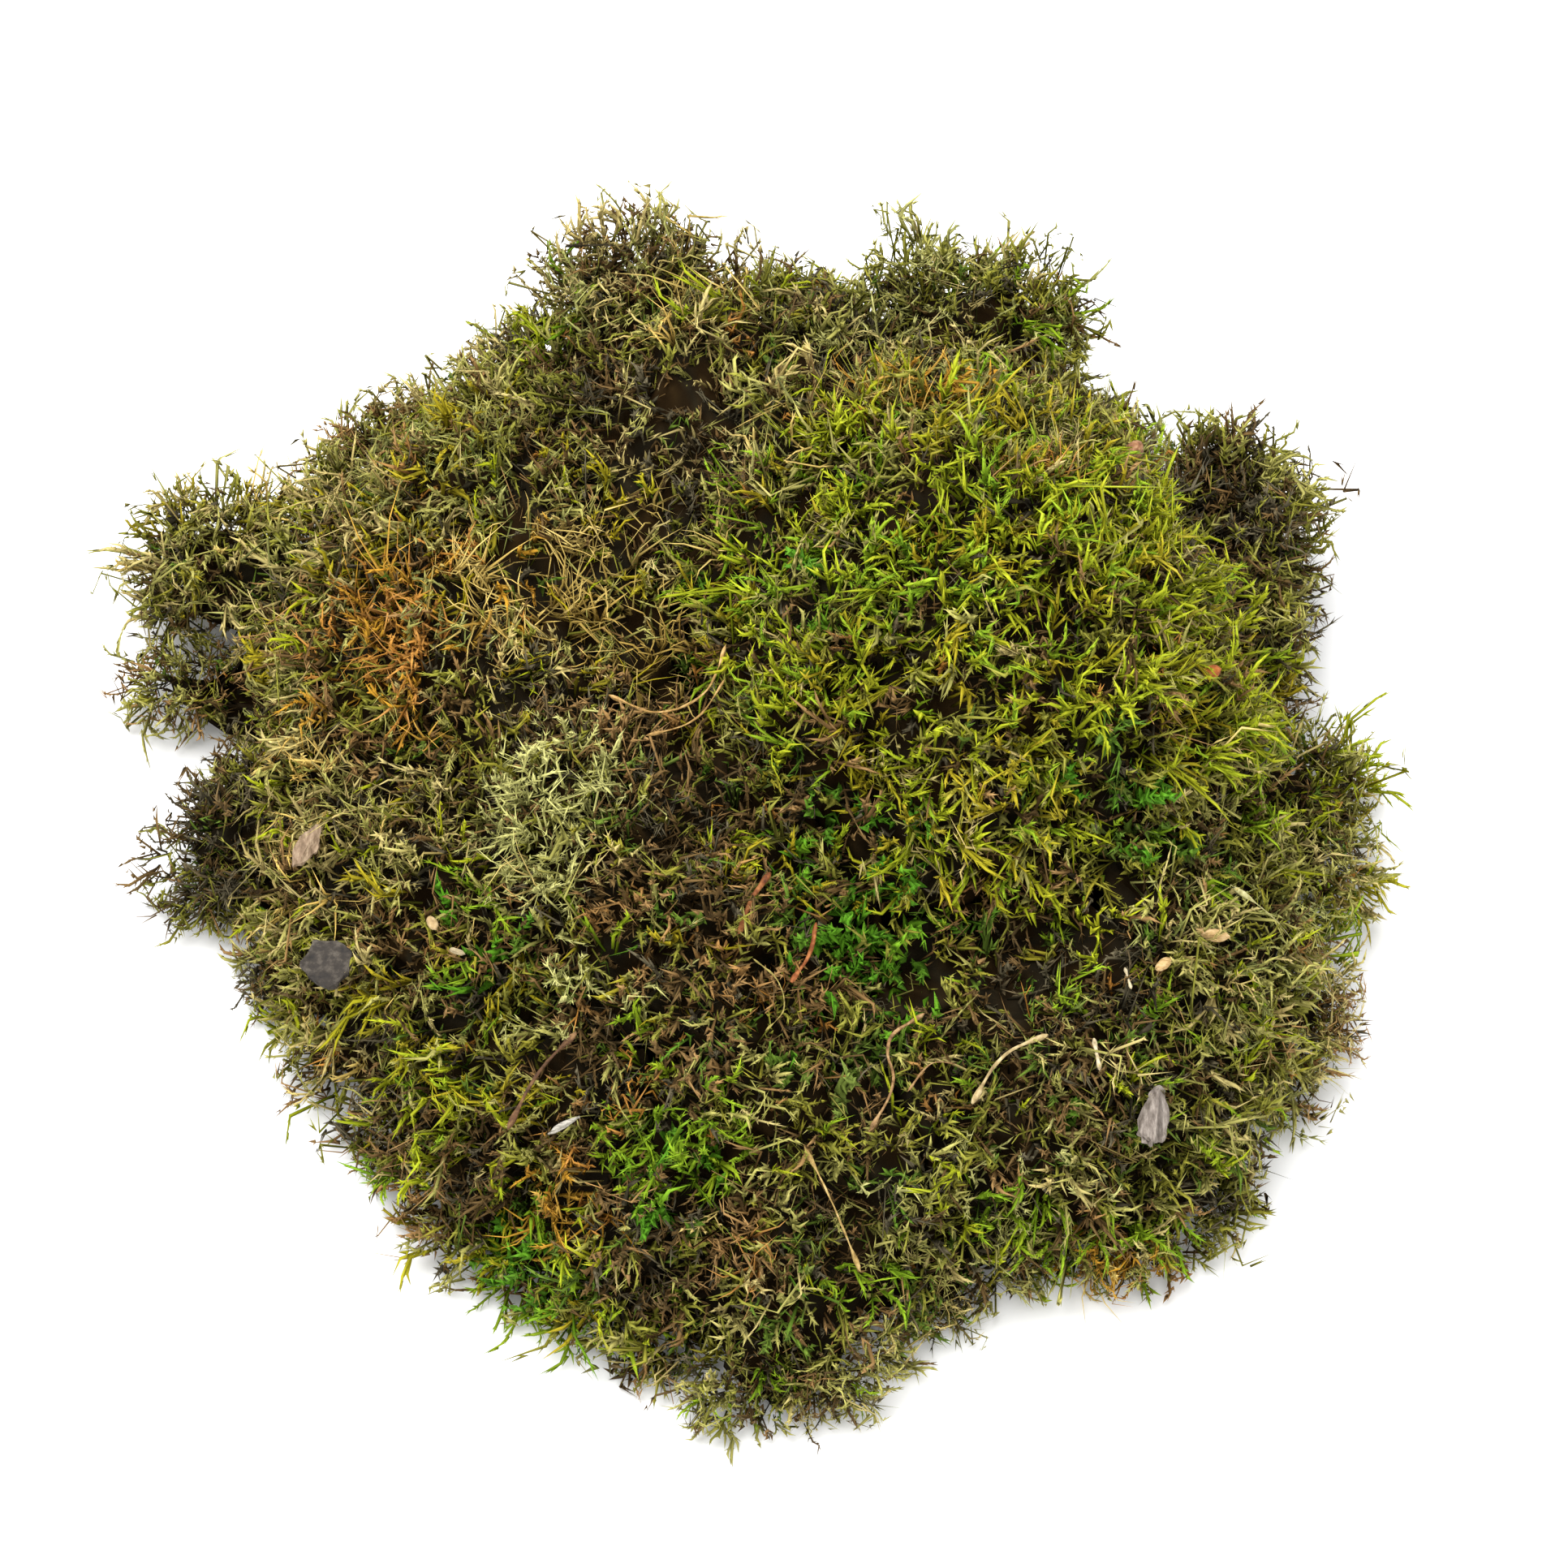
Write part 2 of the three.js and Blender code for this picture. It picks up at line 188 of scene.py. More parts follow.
def litter_material(name, colours, scale, stretch):
    """Bark, twig, leaf or straw: streaked noise for the colour, with its own relief."""
    material, nodes, links = new_material(name)
    shader = nodes["Principled BSDF"]
    coords = nodes.new("ShaderNodeTexCoord")
    place = nodes.new("ShaderNodeMapping")
    place.inputs["Scale"].default_value = stretch
    grain = nodes.new("ShaderNodeTexNoise")
    grain.inputs["Scale"].default_value = scale
    grain.inputs["Detail"].default_value = 6
    grain.inputs["Roughness"].default_value = 0.65
    ramp = colour_ramp(nodes, list(zip((0.3, 0.5, 0.68), colours)))
    bump = nodes.new("ShaderNodeBump")
    bump.inputs["Strength"].default_value = LITTER_RELIEF
    bump.inputs["Distance"].default_value = LITTER_RELIEF_DEPTH
    links.new(coords.outputs["Object"], place.inputs["Vector"])
    links.new(place.outputs["Vector"], grain.inputs["Vector"])
    links.new(grain.outputs["Fac"], ramp.inputs["Fac"])
    links.new(ramp.outputs["Color"], shader.inputs["Base Color"])
    roughness = ranged(nodes, links, grain.outputs["Fac"], *LITTER_ROUGHNESS)
    links.new(roughness, shader.inputs["Roughness"])
    links.new(grain.outputs["Fac"], bump.inputs["Height"])
    links.new(bump.outputs["Normal"], shader.inputs["Normal"])
    return material


# How rough the tips are, and how much they shine.
MOSS_SLOTS = {
    "crown_moss": (0.5, 0.22),
    "olive_moss": (0.62, 0.2),
    "tan_moss": (0.75, 0.15),
    "dark_moss": (0.7, 0.2),
    "pale_moss": (0.8, 0.15),
    "brown_moss": (0.85, 0.15),
}
materials = {slot: moss_material(slot, *look) for slot, look in MOSS_SLOTS.items()}


# ---- one shoot of each kind, a unit long along +Z ----------------------------------------------
class Shoot:
    """Points, triangles, and for each point how near the tip it is and which side it is on."""

    def __init__(self, mesh):
        bmesh.ops.remove_doubles(mesh, verts=mesh.verts, dist=1e-6)
        bmesh.ops.triangulate(mesh, faces=mesh.faces)
        mesh.verts.index_update()
        shade = mesh.verts.layers.float["shade"]
        side = mesh.verts.layers.float["side"]
        self.points = np.array([v.co for v in mesh.verts])
        self.faces = np.array([[v.index for v in f.verts] for f in mesh.faces])
        self.shade = np.array([v[shade] for v in mesh.verts])
        self.side = np.array([v[side] for v in mesh.verts])
        mesh.free()


def start_shoot(seed):
    mesh = bmesh.new()
    mesh.verts.layers.float.new("shade")
    mesh.verts.layers.float.new("side")
    return mesh, np.random.default_rng(seed)


def mark(mesh, v, shade, side):
    v[mesh.verts.layers.float["shade"]] = min(1, max(0, shade))
    v[mesh.verts.layers.float["side"]] = side


def add_blade(mesh, place, length, width, shades, cuts=0, curl=0.0, tip_width=0.0, flat=1.0):
    """A closed three-sided blade along +Z of place: a stem, a thread or a narrow leaf."""
    made = bmesh.ops.create_cone(
        mesh, cap_ends=True, cap_tris=True, segments=3,
        radius1=0.5, radius2=0.5 * tip_width, depth=1)
    verts = made["verts"]
    bmesh.ops.translate(mesh, verts=verts, vec=(0, 0, 0.5))
    for cut in range(1, cuts + 1):
        geometry = verts + list({e for v in verts for e in v.link_edges})
        geometry += list({f for v in verts for f in v.link_faces})
        sliced = bmesh.ops.bisect_plane(
            mesh, geom=geometry, plane_co=(0, 0, cut / (cuts + 1)), plane_no=(0, 0, 1), dist=1e-7)
        verts = verts + [g for g in sliced["geom_cut"] if isinstance(g, bmesh.types.BMVert)]
    for v in verts:
        along = v.co.z
        mark(mesh, v, shades[0] + (shades[1] - shades[0]) * along, 2 * v.co.x)
        v.co = (v.co.x * width, v.co.y * width * flat + curl * along * along * length,
                along * length)
    bmesh.ops.transform(mesh, matrix=place, verts=verts)


def add_finger(mesh, place, length, width, shades, cuts=2, curl=0.0):
    """A plump tapering body along +Z of place: a shoot thick with pressed-down leaves."""
    before = set(mesh.verts)
    add_blade(mesh, Matrix.Identity(4), 1, 1, shades, cuts=cuts)
    verts = [v for v in mesh.verts if v not in before]
    for v in verts:
        around = math.hypot(v.co.x, v.co.y)
        if around > 1e-4:
            plump = (0.5 + 0.5 * math.sin(math.pi * min(1, 0.15 + v.co.z * 0.9))) * width / 2
            v.co.x *= plump / around
            v.co.y *= plump / around
        v.co.y += curl * v.co.z ** 2 * length
        v.co.z = v.co.z ** 0.62 * length
    bmesh.ops.transform(mesh, matrix=place, verts=verts)


def add_leaf_pair(mesh, place, reaches, rises, width, shades):
    """Two pointed leaves on either side of a stem, as one closed double-pointed body."""
    verts = bmesh.ops.create_uvsphere(mesh, u_segments=3, v_segments=2, radius=0.5)["verts"]
    for v in verts:
        x, y, z = v.co
        if abs(z) > 0.4:
            end = int(z > 0)
            v.co = ((reaches[0], -reaches[1])[end], 0, rises[end])
            mark(mesh, v, shades[1], 0)
        else:
            v.co = (0, 1.15 * y * width, -0.5 * x * width)
            mark(mesh, v, shades[0], 2 * y)
    bmesh.ops.transform(mesh, matrix=place, verts=verts)


def turned(at, around, spread, roll=0.0):
    """A place at a point, leaning out by spread in the direction around."""
    lean = Matrix.Rotation(around, 4, "Z") @ Matrix.Rotation(-spread, 4, "X")
    return Matrix.Translation(at) @ lean @ Matrix.Rotation(roll, 4, "Z")


def leaf_up_stem(mesh, pick, stem, first, last, pairs, leaf, width, spread, low, gain, twist):
    """Leaf pairs from first to last along the Z of stem, smaller and closer to it upwards."""
    for i in range(pairs):
        share = (i + 0.6 * pick.random()) / pairs
        along = first + (last - first) * share
        size = leaf * (1.1 - 0.4 * share)
        lean = spread * (1.15 - 0.6 * share)
        reaches = [size * math.sin(lean) * pick.uniform(0.75, 1.25) for _ in range(2)]
        rises = [size * math.cos(lean) * pick.uniform(0.75, 1.25) for _ in range(2)]
        around = i * twist + pick.normal(0, 0.3)
        base = low + (gain - 0.25) * share
        add_leaf_pair(
            mesh, stem @ turned((0, 0, along), around, pick.normal(0, 0.15)), reaches, rises,
            width * pick.uniform(0.8, 1.2) * (1.1 - 0.3 * share), (base, base + 0.4))


def leafy_shoot(seed, pairs, leaf, width, spread, twist, body=0.06, cuts=1):
    """A stem with small pointed leaves all along it."""
    mesh, pick = start_shoot(seed)
    stem = Matrix.Identity(4)
    add_finger(mesh, stem, 1, body, (0.05, 0.95), cuts=cuts)
    leaf_up_stem(mesh, pick, stem, 0.1, 0.93, pairs, leaf, width, spread, 0.15, 0.8, twist)
    return Shoot(mesh)


def plume(seed, pairs, branches, leaf, width, body):
    """A plump leafy shoot that forks into shorter ones, like a small flame."""
    mesh, pick = start_shoot(seed)
    stem = Matrix.Identity(4)
    add_finger(mesh, stem, 1, body, (0.05, 1), cuts=2)
    leaf_up_stem(mesh, pick, stem, 0.2, 0.92, pairs, leaf, width, 0.7, 0.2, 0.8, 2.1)
    for i in range(branches):
        at = 0.1 + 0.5 * i / branches
        branch = turned(
            (0, 0, at), i * 2.6 + pick.random(), pick.uniform(0.35, 0.8), pick.random() * 6)
        long = pick.uniform(0.35, 0.6)
        add_finger(mesh, branch, long, body * 0.8, (0.2, 0.95), cuts=1, curl=pick.normal(0.2, 0.3))
        leaf_up_stem(mesh, pick, branch, 0.2, long * 0.7, 1, leaf * 0.9, width, 0.7,
                     0.35, 0.7, 1.9)
    return Shoot(mesh)


def feather(seed, branches, leaf, width):
    """A flat feather: a stem with leafy side branches, longest below the middle."""
    mesh, pick = start_shoot(seed)
    add_blade(mesh, Matrix.Identity(4), 1, 0.045, (0.05, 0.9), cuts=2)
    for i in range(branches):
        along = 0.12 + 0.75 * i / branches
        reach = 0.42 * math.sin(math.pi * (0.2 + 0.72 * along)) * pick.uniform(0.75, 1.2)
        around = (i % 2) * math.pi + math.pi / 2 + pick.normal(0, 0.3)
        branch = turned((0, 0, along), around, pick.normal(0.9, 0.15))
        low = 0.2 + 0.35 * along
        add_blade(mesh, branch, reach, 0.035, (low, low + 0.35))
        leaf_up_stem(mesh, pick, branch, 0.4 * reach, 0.8 * reach, 1, leaf, width, 0.7,
                     low, 0.5, 1.7)
    leaf_up_stem(mesh, pick, Matrix.Identity(4), 0.6, 0.95, 2, leaf, width, 0.6, 0.45, 0.5, 1.6)
    return Shoot(mesh)


def sickle_tuft(seed, leaves):
    """Long narrow leaves that all curve from one root, as in a fork moss."""
    mesh, pick = start_shoot(seed)
    for i in range(leaves):
        place = turned((0, 0, 0.06 * i / leaves), i * 2.4 + pick.random(), pick.uniform(0.1, 0.6))
        add_blade(mesh, place, pick.uniform(0.6, 1), 0.085, (0.15, 1), cuts=2,
                  curl=pick.uniform(0.25, 0.6), flat=0.5)
    return Shoot(mesh)


def thread_tangle(seed, threads):
    """Fine forked threads, as in the thinnest stems."""
    mesh, pick = start_shoot(seed)
    for _ in range(threads):
        place = turned((0, 0, 0.1 * pick.random()), pick.random() * 6.3, pick.uniform(0.2, 0.9))
        long = pick.uniform(0.5, 1)
        add_blade(mesh, place, long, 0.045, (0.1, 0.9), cuts=1, curl=pick.normal(0, 0.5))
        fork = place @ turned((0, 0, long * 0.5), pick.random() * 6.3, 0.8)
        add_blade(mesh, fork, 0.28, 0.045, (0.4, 1))
    return Shoot(mesh)


def bare_stem(seed):
    """One wiry dead stem with a side stem."""
    mesh, pick = start_shoot(seed)
    add_blade(mesh, Matrix.Identity(4), 1, 0.05, (0.25, 0.95), cuts=2, tip_width=0.3)
    side = turned((0, 0, pick.uniform(0.35, 0.6)), pick.random() * 6.3, 0.7)
    add_blade(mesh, side, 0.35, 0.04, (0.5, 1))
    return Shoot(mesh)


KINDS = {
    "shoot": [leafy_shoot(s, 5, 0.15, 0.08, 0.9, 2.0, body=0.07, cuts=1) for s in range(6)],
    "curl": [leafy_shoot(160 + s, 5, 0.13, 0.06, 0.95, 2.0, body=0.05, cuts=2) for s in range(6)],
    "flat_shoot": [
        leafy_shoot(20 + s, 6, 0.18, 0.09, 0.8, math.pi, body=0.06, cuts=2) for s in range(5)],
    "plume": [plume(140 + s, 4, 3, 0.15, 0.08, 0.08) for s in range(8)],
    "sprig": [leafy_shoot(40 + s, 6, 0.23, 0.16, 0.95, 1.9) for s in range(5)],
    "scrub": [leafy_shoot(60 + s, 4, 0.2, 0.1, 0.9, 2.0) for s in range(6)],
    "feather": [feather(80 + s, 6, 0.12, 0.07) for s in range(5)],
    "sickle": [sickle_tuft(100 + s, 5) for s in range(6)],
    "thread": [thread_tangle(120 + s, 4) for s in range(6)],
    "wire": [bare_stem(s) for s in range(6)],
}


# ---- how each tone grows -----------------------------------------------------------------------
# kinds of shoot with their shares, and the length range in mm.
GROWTH = {
    "charcoal": ({"scrub": 0.4, "curl": 0.4, "thread": 0.2}, (7, 10)),
    "dark_brown": ({"scrub": 0.3, "wire": 0.06, "shoot": 0.3, "curl": 0.34}, (7, 10)),
    "earth": ({"scrub": 0.2, "wire": 0.2, "shoot": 0.25, "curl": 0.35}, (6, 10)),
    "rust": ({"sickle": 0.25, "shoot": 0.5, "curl": 0.25}, (7, 10)),
    "orange": ({"sickle": 0.25, "plume": 0.3, "flat_shoot": 0.45}, (7, 10)),
    "straw": ({"sickle": 0.6, "curl": 0.4}, (8, 13)),
    "tan": ({"feather": 0.15, "curl": 0.5, "plume": 0.25, "thread": 0.1}, (8, 12)),
    "khaki": ({"flat_shoot": 0.15, "feather": 0.1, "plume": 0.3, "curl": 0.45}, (7, 11)),
    "olive": ({"shoot": 0.35, "plume": 0.35, "curl": 0.3}, (7, 10)),
    "mustard": ({"shoot": 0.3, "plume": 0.7}, (8, 11)),
    "yellow_green": ({"plume": 0.8, "flat_shoot": 0.1, "shoot": 0.1}, (9, 12)),
    "lime": ({"plume": 0.6, "flat_shoot": 0.4}, (8, 11)),
    "emerald": ({"sprig": 1.0}, (6, 9)),
    "deep_green": ({"sprig": 0.3, "curl": 0.2, "shoot": 0.5}, (6, 9)),
    "grey_green": ({"feather": 0.25, "thread": 0.1, "curl": 0.65}, (7, 10)),
    "pale_lichen": ({"feather": 0.4, "curl": 0.5, "flat_shoot": 0.1}, (7, 11)),
}

# What grows on each mat, lobe and tuft: shares of tones, and how closely it grows.
COVER = {
    "crown_mat": ({"yellow_green": 4, "lime": 2, "mustard": 2, "olive": 3, "khaki": 1.4,
                   "earth": 1, "tan": 0.8, "dark_brown": 0.8}, 1.0),
    "back_mat": ({"tan": 2.6, "khaki": 3, "olive": 3, "dark_brown": 1.2, "grey_green": 1.2,
                  "charcoal": 0.6, "yellow_green": 0.4}, 1.0),
    "left_shoulder_mat": ({"khaki": 3, "tan": 2.4, "olive": 2.5, "grey_green": 1, "mustard": 1.4,
                           "earth": 0.8, "dark_brown": 0.6, "yellow_green": 0.6}, 1.0),
    "centre_mat": ({"dark_brown": 2.4, "olive": 3, "earth": 1.8, "mustard": 0.8, "charcoal": 0.6,
                    "deep_green": 1, "khaki": 1}, 1.0),
    "left_flank_mat": ({"tan": 2.8, "khaki": 3.2, "olive": 2.2, "earth": 1, "dark_brown": 0.6,
                        "yellow_green": 1, "straw": 0.6}, 1.0),
    "right_flank_mat": ({"olive": 3, "khaki": 3, "grey_green": 0.8, "tan": 1.4, "earth": 0.8,
                         "yellow_green": 0.8, "lime": 0.4}, 1.0),
    "front_right_mat": ({"olive": 3, "dark_brown": 1.4, "charcoal": 0.8, "khaki": 2.4,
                         "deep_green": 1, "earth": 1, "tan": 0.8, "yellow_green": 0.8,
                         "lime": 0.8}, 1.0),
    "front_left_mat": ({"olive": 3, "khaki": 2.2, "mustard": 1.4, "dark_brown": 1.3,
                        "deep_green": 1, "charcoal": 0.5, "yellow_green": 1.2, "lime": 0.8,
                        "tan": 0.5}, 1.0),
    "front_mat": ({"olive": 3.2, "khaki": 2.2, "dark_brown": 1.6, "charcoal": 0.6, "earth": 1,
                   "deep_green": 0.8, "tan": 0.8, "lime": 0.8, "yellow_green": 0.6}, 1.0),
    "pale_tuft": ({"pale_lichen": 7, "straw": 0.8, "grey_green": 1, "earth": 0.4}, 1.25),
    "back_left_tuft": ({"tan": 2.5, "khaki": 2, "grey_green": 1.2, "dark_brown": 0.8}, 0.9),
    "back_right_tuft": ({"grey_green": 1.4, "khaki": 2.4, "pale_lichen": 1.2, "olive": 2,
                         "tan": 0.8}, 0.9),
    "left_brown_bump": ({"earth": 3, "khaki": 2, "tan": 1.5}, 1.0),
    "front_tongue": ({"charcoal": 1.2, "olive": 2, "khaki": 2.4, "dark_brown": 1.5, "lime": 1,
                      "tan": 1}, 1.0),
    "front_tan_lobe": ({"tan": 3, "straw": 1.2, "earth": 1, "orange": 1, "khaki": 1}, 1.0),
    "front_small_tuft": ({"grey_green": 1, "khaki": 1.6, "tan": 1, "dark_brown": 0.6}, 0.8),
    # The charcoal of this lobe is partly the dark moss's own colour, partly painted shade of a dark
    # hole.
    "right_dark_lobe": ({"charcoal": 2.4, "olive": 2, "dark_brown": 1.4, "khaki": 1.2}, 1.0),
    "right_frond_lobe": ({"khaki": 2, "mustard": 1.5, "olive": 1.5, "tan": 1.5,
                          "yellow_green": 1}, 0.8),
    "right_brown_lobe": ({"earth": 3, "tan": 2.4, "dark_brown": 0.6}, 1.1),
    "left_upper_lobe": ({"khaki": 2, "olive": 2, "tan": 1.4, "mustard": 1, "straw": 0.4}, 0.8),
    "left_middle_lobe": ({"khaki": 2, "earth": 1.5, "dark_brown": 1, "olive": 1}, 0.9),
    # The charcoal and dark brown covers of the two left-edge lobes below are painted shade, as these
    # lobes stand in shadow.
    "left_dark_lobe": ({"charcoal": 2.4, "dark_brown": 1.4, "khaki": 1, "olive": 1}, 1.0),
    "left_low_lobe": ({"charcoal": 2, "dark_brown": 2, "khaki": 0.6}, 1.0),
}

# Colonies: patches of one or two tones. Where they are is a share of a mat's box across and
# back, then the radius in mm, the tones, and how strong the patch is.
# The colonies with charcoal in them sit on the dark holes of the moss: their dark tones are partly
# its own colour, partly painted shade of the holes.
COLONIES = [
    ("crown_mat", 0.33, 0.50, 15, {"lime": 4, "yellow_green": 2}, 0.8),
    ("crown_mat", 0.44, 0.60, 10, {"lime": 2, "yellow_green": 3}, 0.8),
    ("crown_mat", 0.62, 0.46, 20, {"yellow_green": 5, "mustard": 1.5, "lime": 0.6}, 0.8),
    ("crown_mat", 0.29, 0.24, 14, {"yellow_green": 3, "mustard": 2, "olive": 2}, 0.8),
    ("crown_mat", 0.46, 0.20, 14, {"mustard": 3, "olive": 3, "yellow_green": 2}, 0.8),
    ("crown_mat", 0.05, 0.56, 8, {"lime": 3, "deep_green": 1, "yellow_green": 1}, 0.8),
    ("crown_mat", 0.22, 0.83, 8, {"yellow_green": 3, "straw": 1, "tan": 1}, 0.8),
    ("crown_mat", 0.56, 0.65, 7, {"rust": 2, "earth": 2, "tan": 1}, 0.9),
    ("crown_mat", 0.41, 0.93, 7, {"orange": 3, "mustard": 1}, 0.85),
    ("crown_mat", 0.81, 0.50, 12, {"yellow_green": 2, "khaki": 2, "olive": 2}, 0.7),
    ("crown_mat", 0.57, 0.38, 5, {"earth": 2, "tan": 1}, 0.6),
    ("crown_mat", 0.69, 0.17, 8, {"emerald": 2, "deep_green": 2, "olive": 2}, 0.7),
    ("crown_mat", 0.26, 0.51, 5, {"emerald": 3}, 0.8),
    ("crown_mat", 0.49, 0.02, 9, {"earth": 2, "dark_brown": 2, "olive": 1}, 0.7),
    ("crown_mat", 0.60, 0.88, 9, {"khaki": 2, "tan": 1, "mustard": 1}, 0.7),
    ("centre_mat", 0.94, 0.35, 9, {"emerald": 5, "deep_green": 1}, 0.9),
    ("centre_mat", 0.96, 0.24, 7, {"emerald": 4, "deep_green": 1}, 0.8),
    ("centre_mat", 0.80, 0.50, 6, {"emerald": 2, "deep_green": 2}, 0.8),
    ("centre_mat", 0.09, 0.78, 10, {"dark_brown": 3, "charcoal": 2, "olive": 1}, 0.8),
    ("centre_mat", 0.35, 0.78, 9, {"dark_brown": 3, "earth": 2}, 0.8),
    ("centre_mat", 0.49, 0.49, 12, {"dark_brown": 3, "olive": 2, "charcoal": 1}, 0.8),
    ("centre_mat", 0.52, 0.23, 12, {"dark_brown": 3, "earth": 2, "olive": 1}, 0.7),
    ("centre_mat", 0.69, 0.20, 6, {"rust": 1, "earth": 3}, 0.8),
    ("centre_mat", 0.74, 0.55, 8, {"dark_brown": 3, "charcoal": 2}, 0.7),
    ("centre_mat", 0.30, 0.33, 7, {"earth": 3, "tan": 1}, 0.85),
    ("centre_mat", 0.32, 0.19, 6, {"lime": 1, "grey_green": 1, "pale_lichen": 2}, 0.8),
    ("centre_mat", 0.22, 0.45, 8, {"pale_lichen": 4, "khaki": 1}, 0.9),
    ("centre_mat", 0.27, 0.34, 7, {"pale_lichen": 3, "tan": 1}, 0.85),
    ("right_flank_mat", 0.30, 0.49, 7, {"lime": 2, "olive": 1, "deep_green": 1}, 0.7),
    ("right_flank_mat", 0.52, 0.57, 11, {"olive": 3, "khaki": 2}, 0.7),
    ("right_flank_mat", 0.66, 0.26, 9, {"khaki": 2, "grey_green": 2, "tan": 1}, 0.8),
    ("right_flank_mat", 0.43, 0.15, 8, {"tan": 2, "khaki": 2}, 0.7),
    ("back_mat", 0.36, 0.52, 8, {"tan": 3, "straw": 2, "khaki": 1}, 0.85),
    ("back_mat", 0.61, 0.61, 11, {"pale_lichen": 2, "khaki": 2, "tan": 1}, 0.85),
    ("back_mat", 0.24, 0.39, 13, {"charcoal": 2, "dark_brown": 3, "olive": 1}, 0.85),
    ("back_mat", 0.13, 0.59, 7, {"charcoal": 2, "dark_brown": 2, "grey_green": 1}, 0.7),
    ("back_mat", 0.36, 0.22, 11, {"charcoal": 2, "dark_brown": 3}, 0.85),
    ("back_mat", 0.43, 0.53, 5, {"earth": 3, "rust": 1}, 0.8),
    ("back_mat", 0.56, 0.32, 7, {"tan": 2, "earth": 1, "straw": 1}, 0.8),
    ("back_mat", 0.85, 0.35, 10, {"olive": 2, "grey_green": 2, "dark_brown": 1}, 0.8),
    ("back_left_tuft", 0.63, 0.63, 7, {"tan": 3, "straw": 1, "earth": 1}, 0.8),
    ("back_left_tuft", 0.17, 0.43, 7, {"grey_green": 3, "lime": 0.6}, 0.8),
    ("back_right_tuft", 0.69, 0.52, 9, {"olive": 2, "lime": 1, "grey_green": 2}, 0.8),
    ("left_shoulder_mat", 0.53, 0.65, 9, {"grey_green": 3, "khaki": 2}, 0.8),
    ("left_shoulder_mat", 0.54, 0.52, 10, {"khaki": 2, "grey_green": 2, "mustard": 1}, 0.8),
    ("left_shoulder_mat", 0.44, 0.36, 8, {"mustard": 3, "orange": 2, "olive": 1}, 0.85),
    ("left_shoulder_mat", 0.37, 0.24, 12, {"rust": 3, "orange": 2}, 1.0),
    ("left_shoulder_mat", 0.41, 0.13, 7, {"rust": 4, "orange": 1}, 0.95),
    ("left_shoulder_mat", 0.81, 0.24, 14, {"straw": 4, "mustard": 1}, 1.0),
    ("left_shoulder_mat", 0.61, 0.27, 9, {"straw": 3, "orange": 1}, 1.0),
    ("left_shoulder_mat", 0.38, 0.05, 12, {"olive": 3, "deep_green": 1, "dark_brown": 1}, 0.7),
    ("left_shoulder_mat", 0.67, 0.44, 9, {"dark_brown": 2, "earth": 1, "khaki": 1}, 0.7),
    ("left_shoulder_mat", 0.12, 0.50, 12, {"tan": 3, "khaki": 2}, 0.8),
    ("left_flank_mat", 0.37, 0.81, 8, {"tan": 2, "khaki": 2}, 0.8),
    ("left_flank_mat", 0.58, 0.54, 9, {"tan": 3, "khaki": 1, "mustard": 1}, 0.8),
    ("left_flank_mat", 0.86, 0.25, 6, {"lime": 3, "emerald": 2}, 0.85),
    ("left_flank_mat", 0.82, 0.67, 8, {"olive": 2, "dark_brown": 2}, 0.7),
    ("left_flank_mat", 0.67, 0.17, 8, {"earth": 2, "mustard": 1, "olive": 1}, 0.7),
    ("front_left_mat", 0.34, 0.72, 8, {"yellow_green": 2, "mustard": 2, "lime": 1}, 0.8),
    ("front_left_mat", 0.58, 0.74, 7, {"mustard": 2, "khaki": 1}, 0.8),
    ("front_left_mat", 0.57, 0.14, 9, {"lime": 4, "emerald": 1}, 0.95),
    ("front_left_mat", 0.26, 0.50, 8, {"dark_brown": 2, "earth": 2}, 0.7),
    ("front_left_mat", 0.09, 0.79, 7, {"charcoal": 2, "earth": 1}, 0.8),
    ("front_left_mat", 0.80, 0.54, 8, {"dark_brown": 2, "earth": 2, "rust": 1}, 0.8),
    ("front_left_mat", 0.76, 0.33, 4, {"orange": 3, "mustard": 1}, 0.9),
    ("front_mat", 0.25, 0.57, 9, {"lime": 3, "emerald": 1.5}, 0.95),
    ("front_mat", 0.21, 0.30, 9, {"charcoal": 3, "dark_brown": 2}, 0.9),
    ("front_mat", 0.59, 0.69, 12, {"olive": 3, "khaki": 1, "earth": 1}, 0.6),
    ("front_mat", 0.56, 0.69, 5, {"rust": 2, "orange": 1, "olive": 1}, 0.7),
    ("front_mat", 0.40, 0.38, 8, {"earth": 2, "dark_brown": 2, "rust": 0.6}, 0.7),
    ("front_mat", 0.40, 0.13, 9, {"khaki": 2, "tan": 1, "olive": 1}, 0.6),
    ("front_right_mat", 0.41, 0.60, 14, {"charcoal": 2, "dark_brown": 3, "deep_green": 1}, 0.85),
    ("front_right_mat", 0.31, 0.45, 8, {"charcoal": 2, "dark_brown": 2, "olive": 1}, 0.8),
    ("front_right_mat", 0.33, 0.13, 10, {"pale_lichen": 1.5, "khaki": 2, "lime": 1}, 0.8),
    ("front_right_mat", 0.79, 0.23, 9, {"olive": 2, "lime": 1, "khaki": 1}, 0.7),
    ("front_right_mat", 0.11, 0.26, 9, {"olive": 2, "khaki": 2}, 0.7),
    ("front_right_mat", 0.73, 0.69, 6, {"lime": 2, "olive": 2}, 0.7),
    ("right_dark_lobe", 0.45, 0.45, 14, {"charcoal": 4, "dark_brown": 1}, 0.8),
]


def colony_places():
    """Each colony's middle, radius, tones and strength, from its mat's box."""
    places = []
    for node, across, back, radius, tones, strength in COLONIES:
        low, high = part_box(node)
        x = low.x + across * (high.x - low.x)
        y = low.y + back * (high.y - low.y)
        places.append((x, y, radius * MM, tones, strength))
    return places


PLACES = colony_places()


# ---- smooth noise ------------------------------------------------------------------------------
NOISE_WAVES = 7


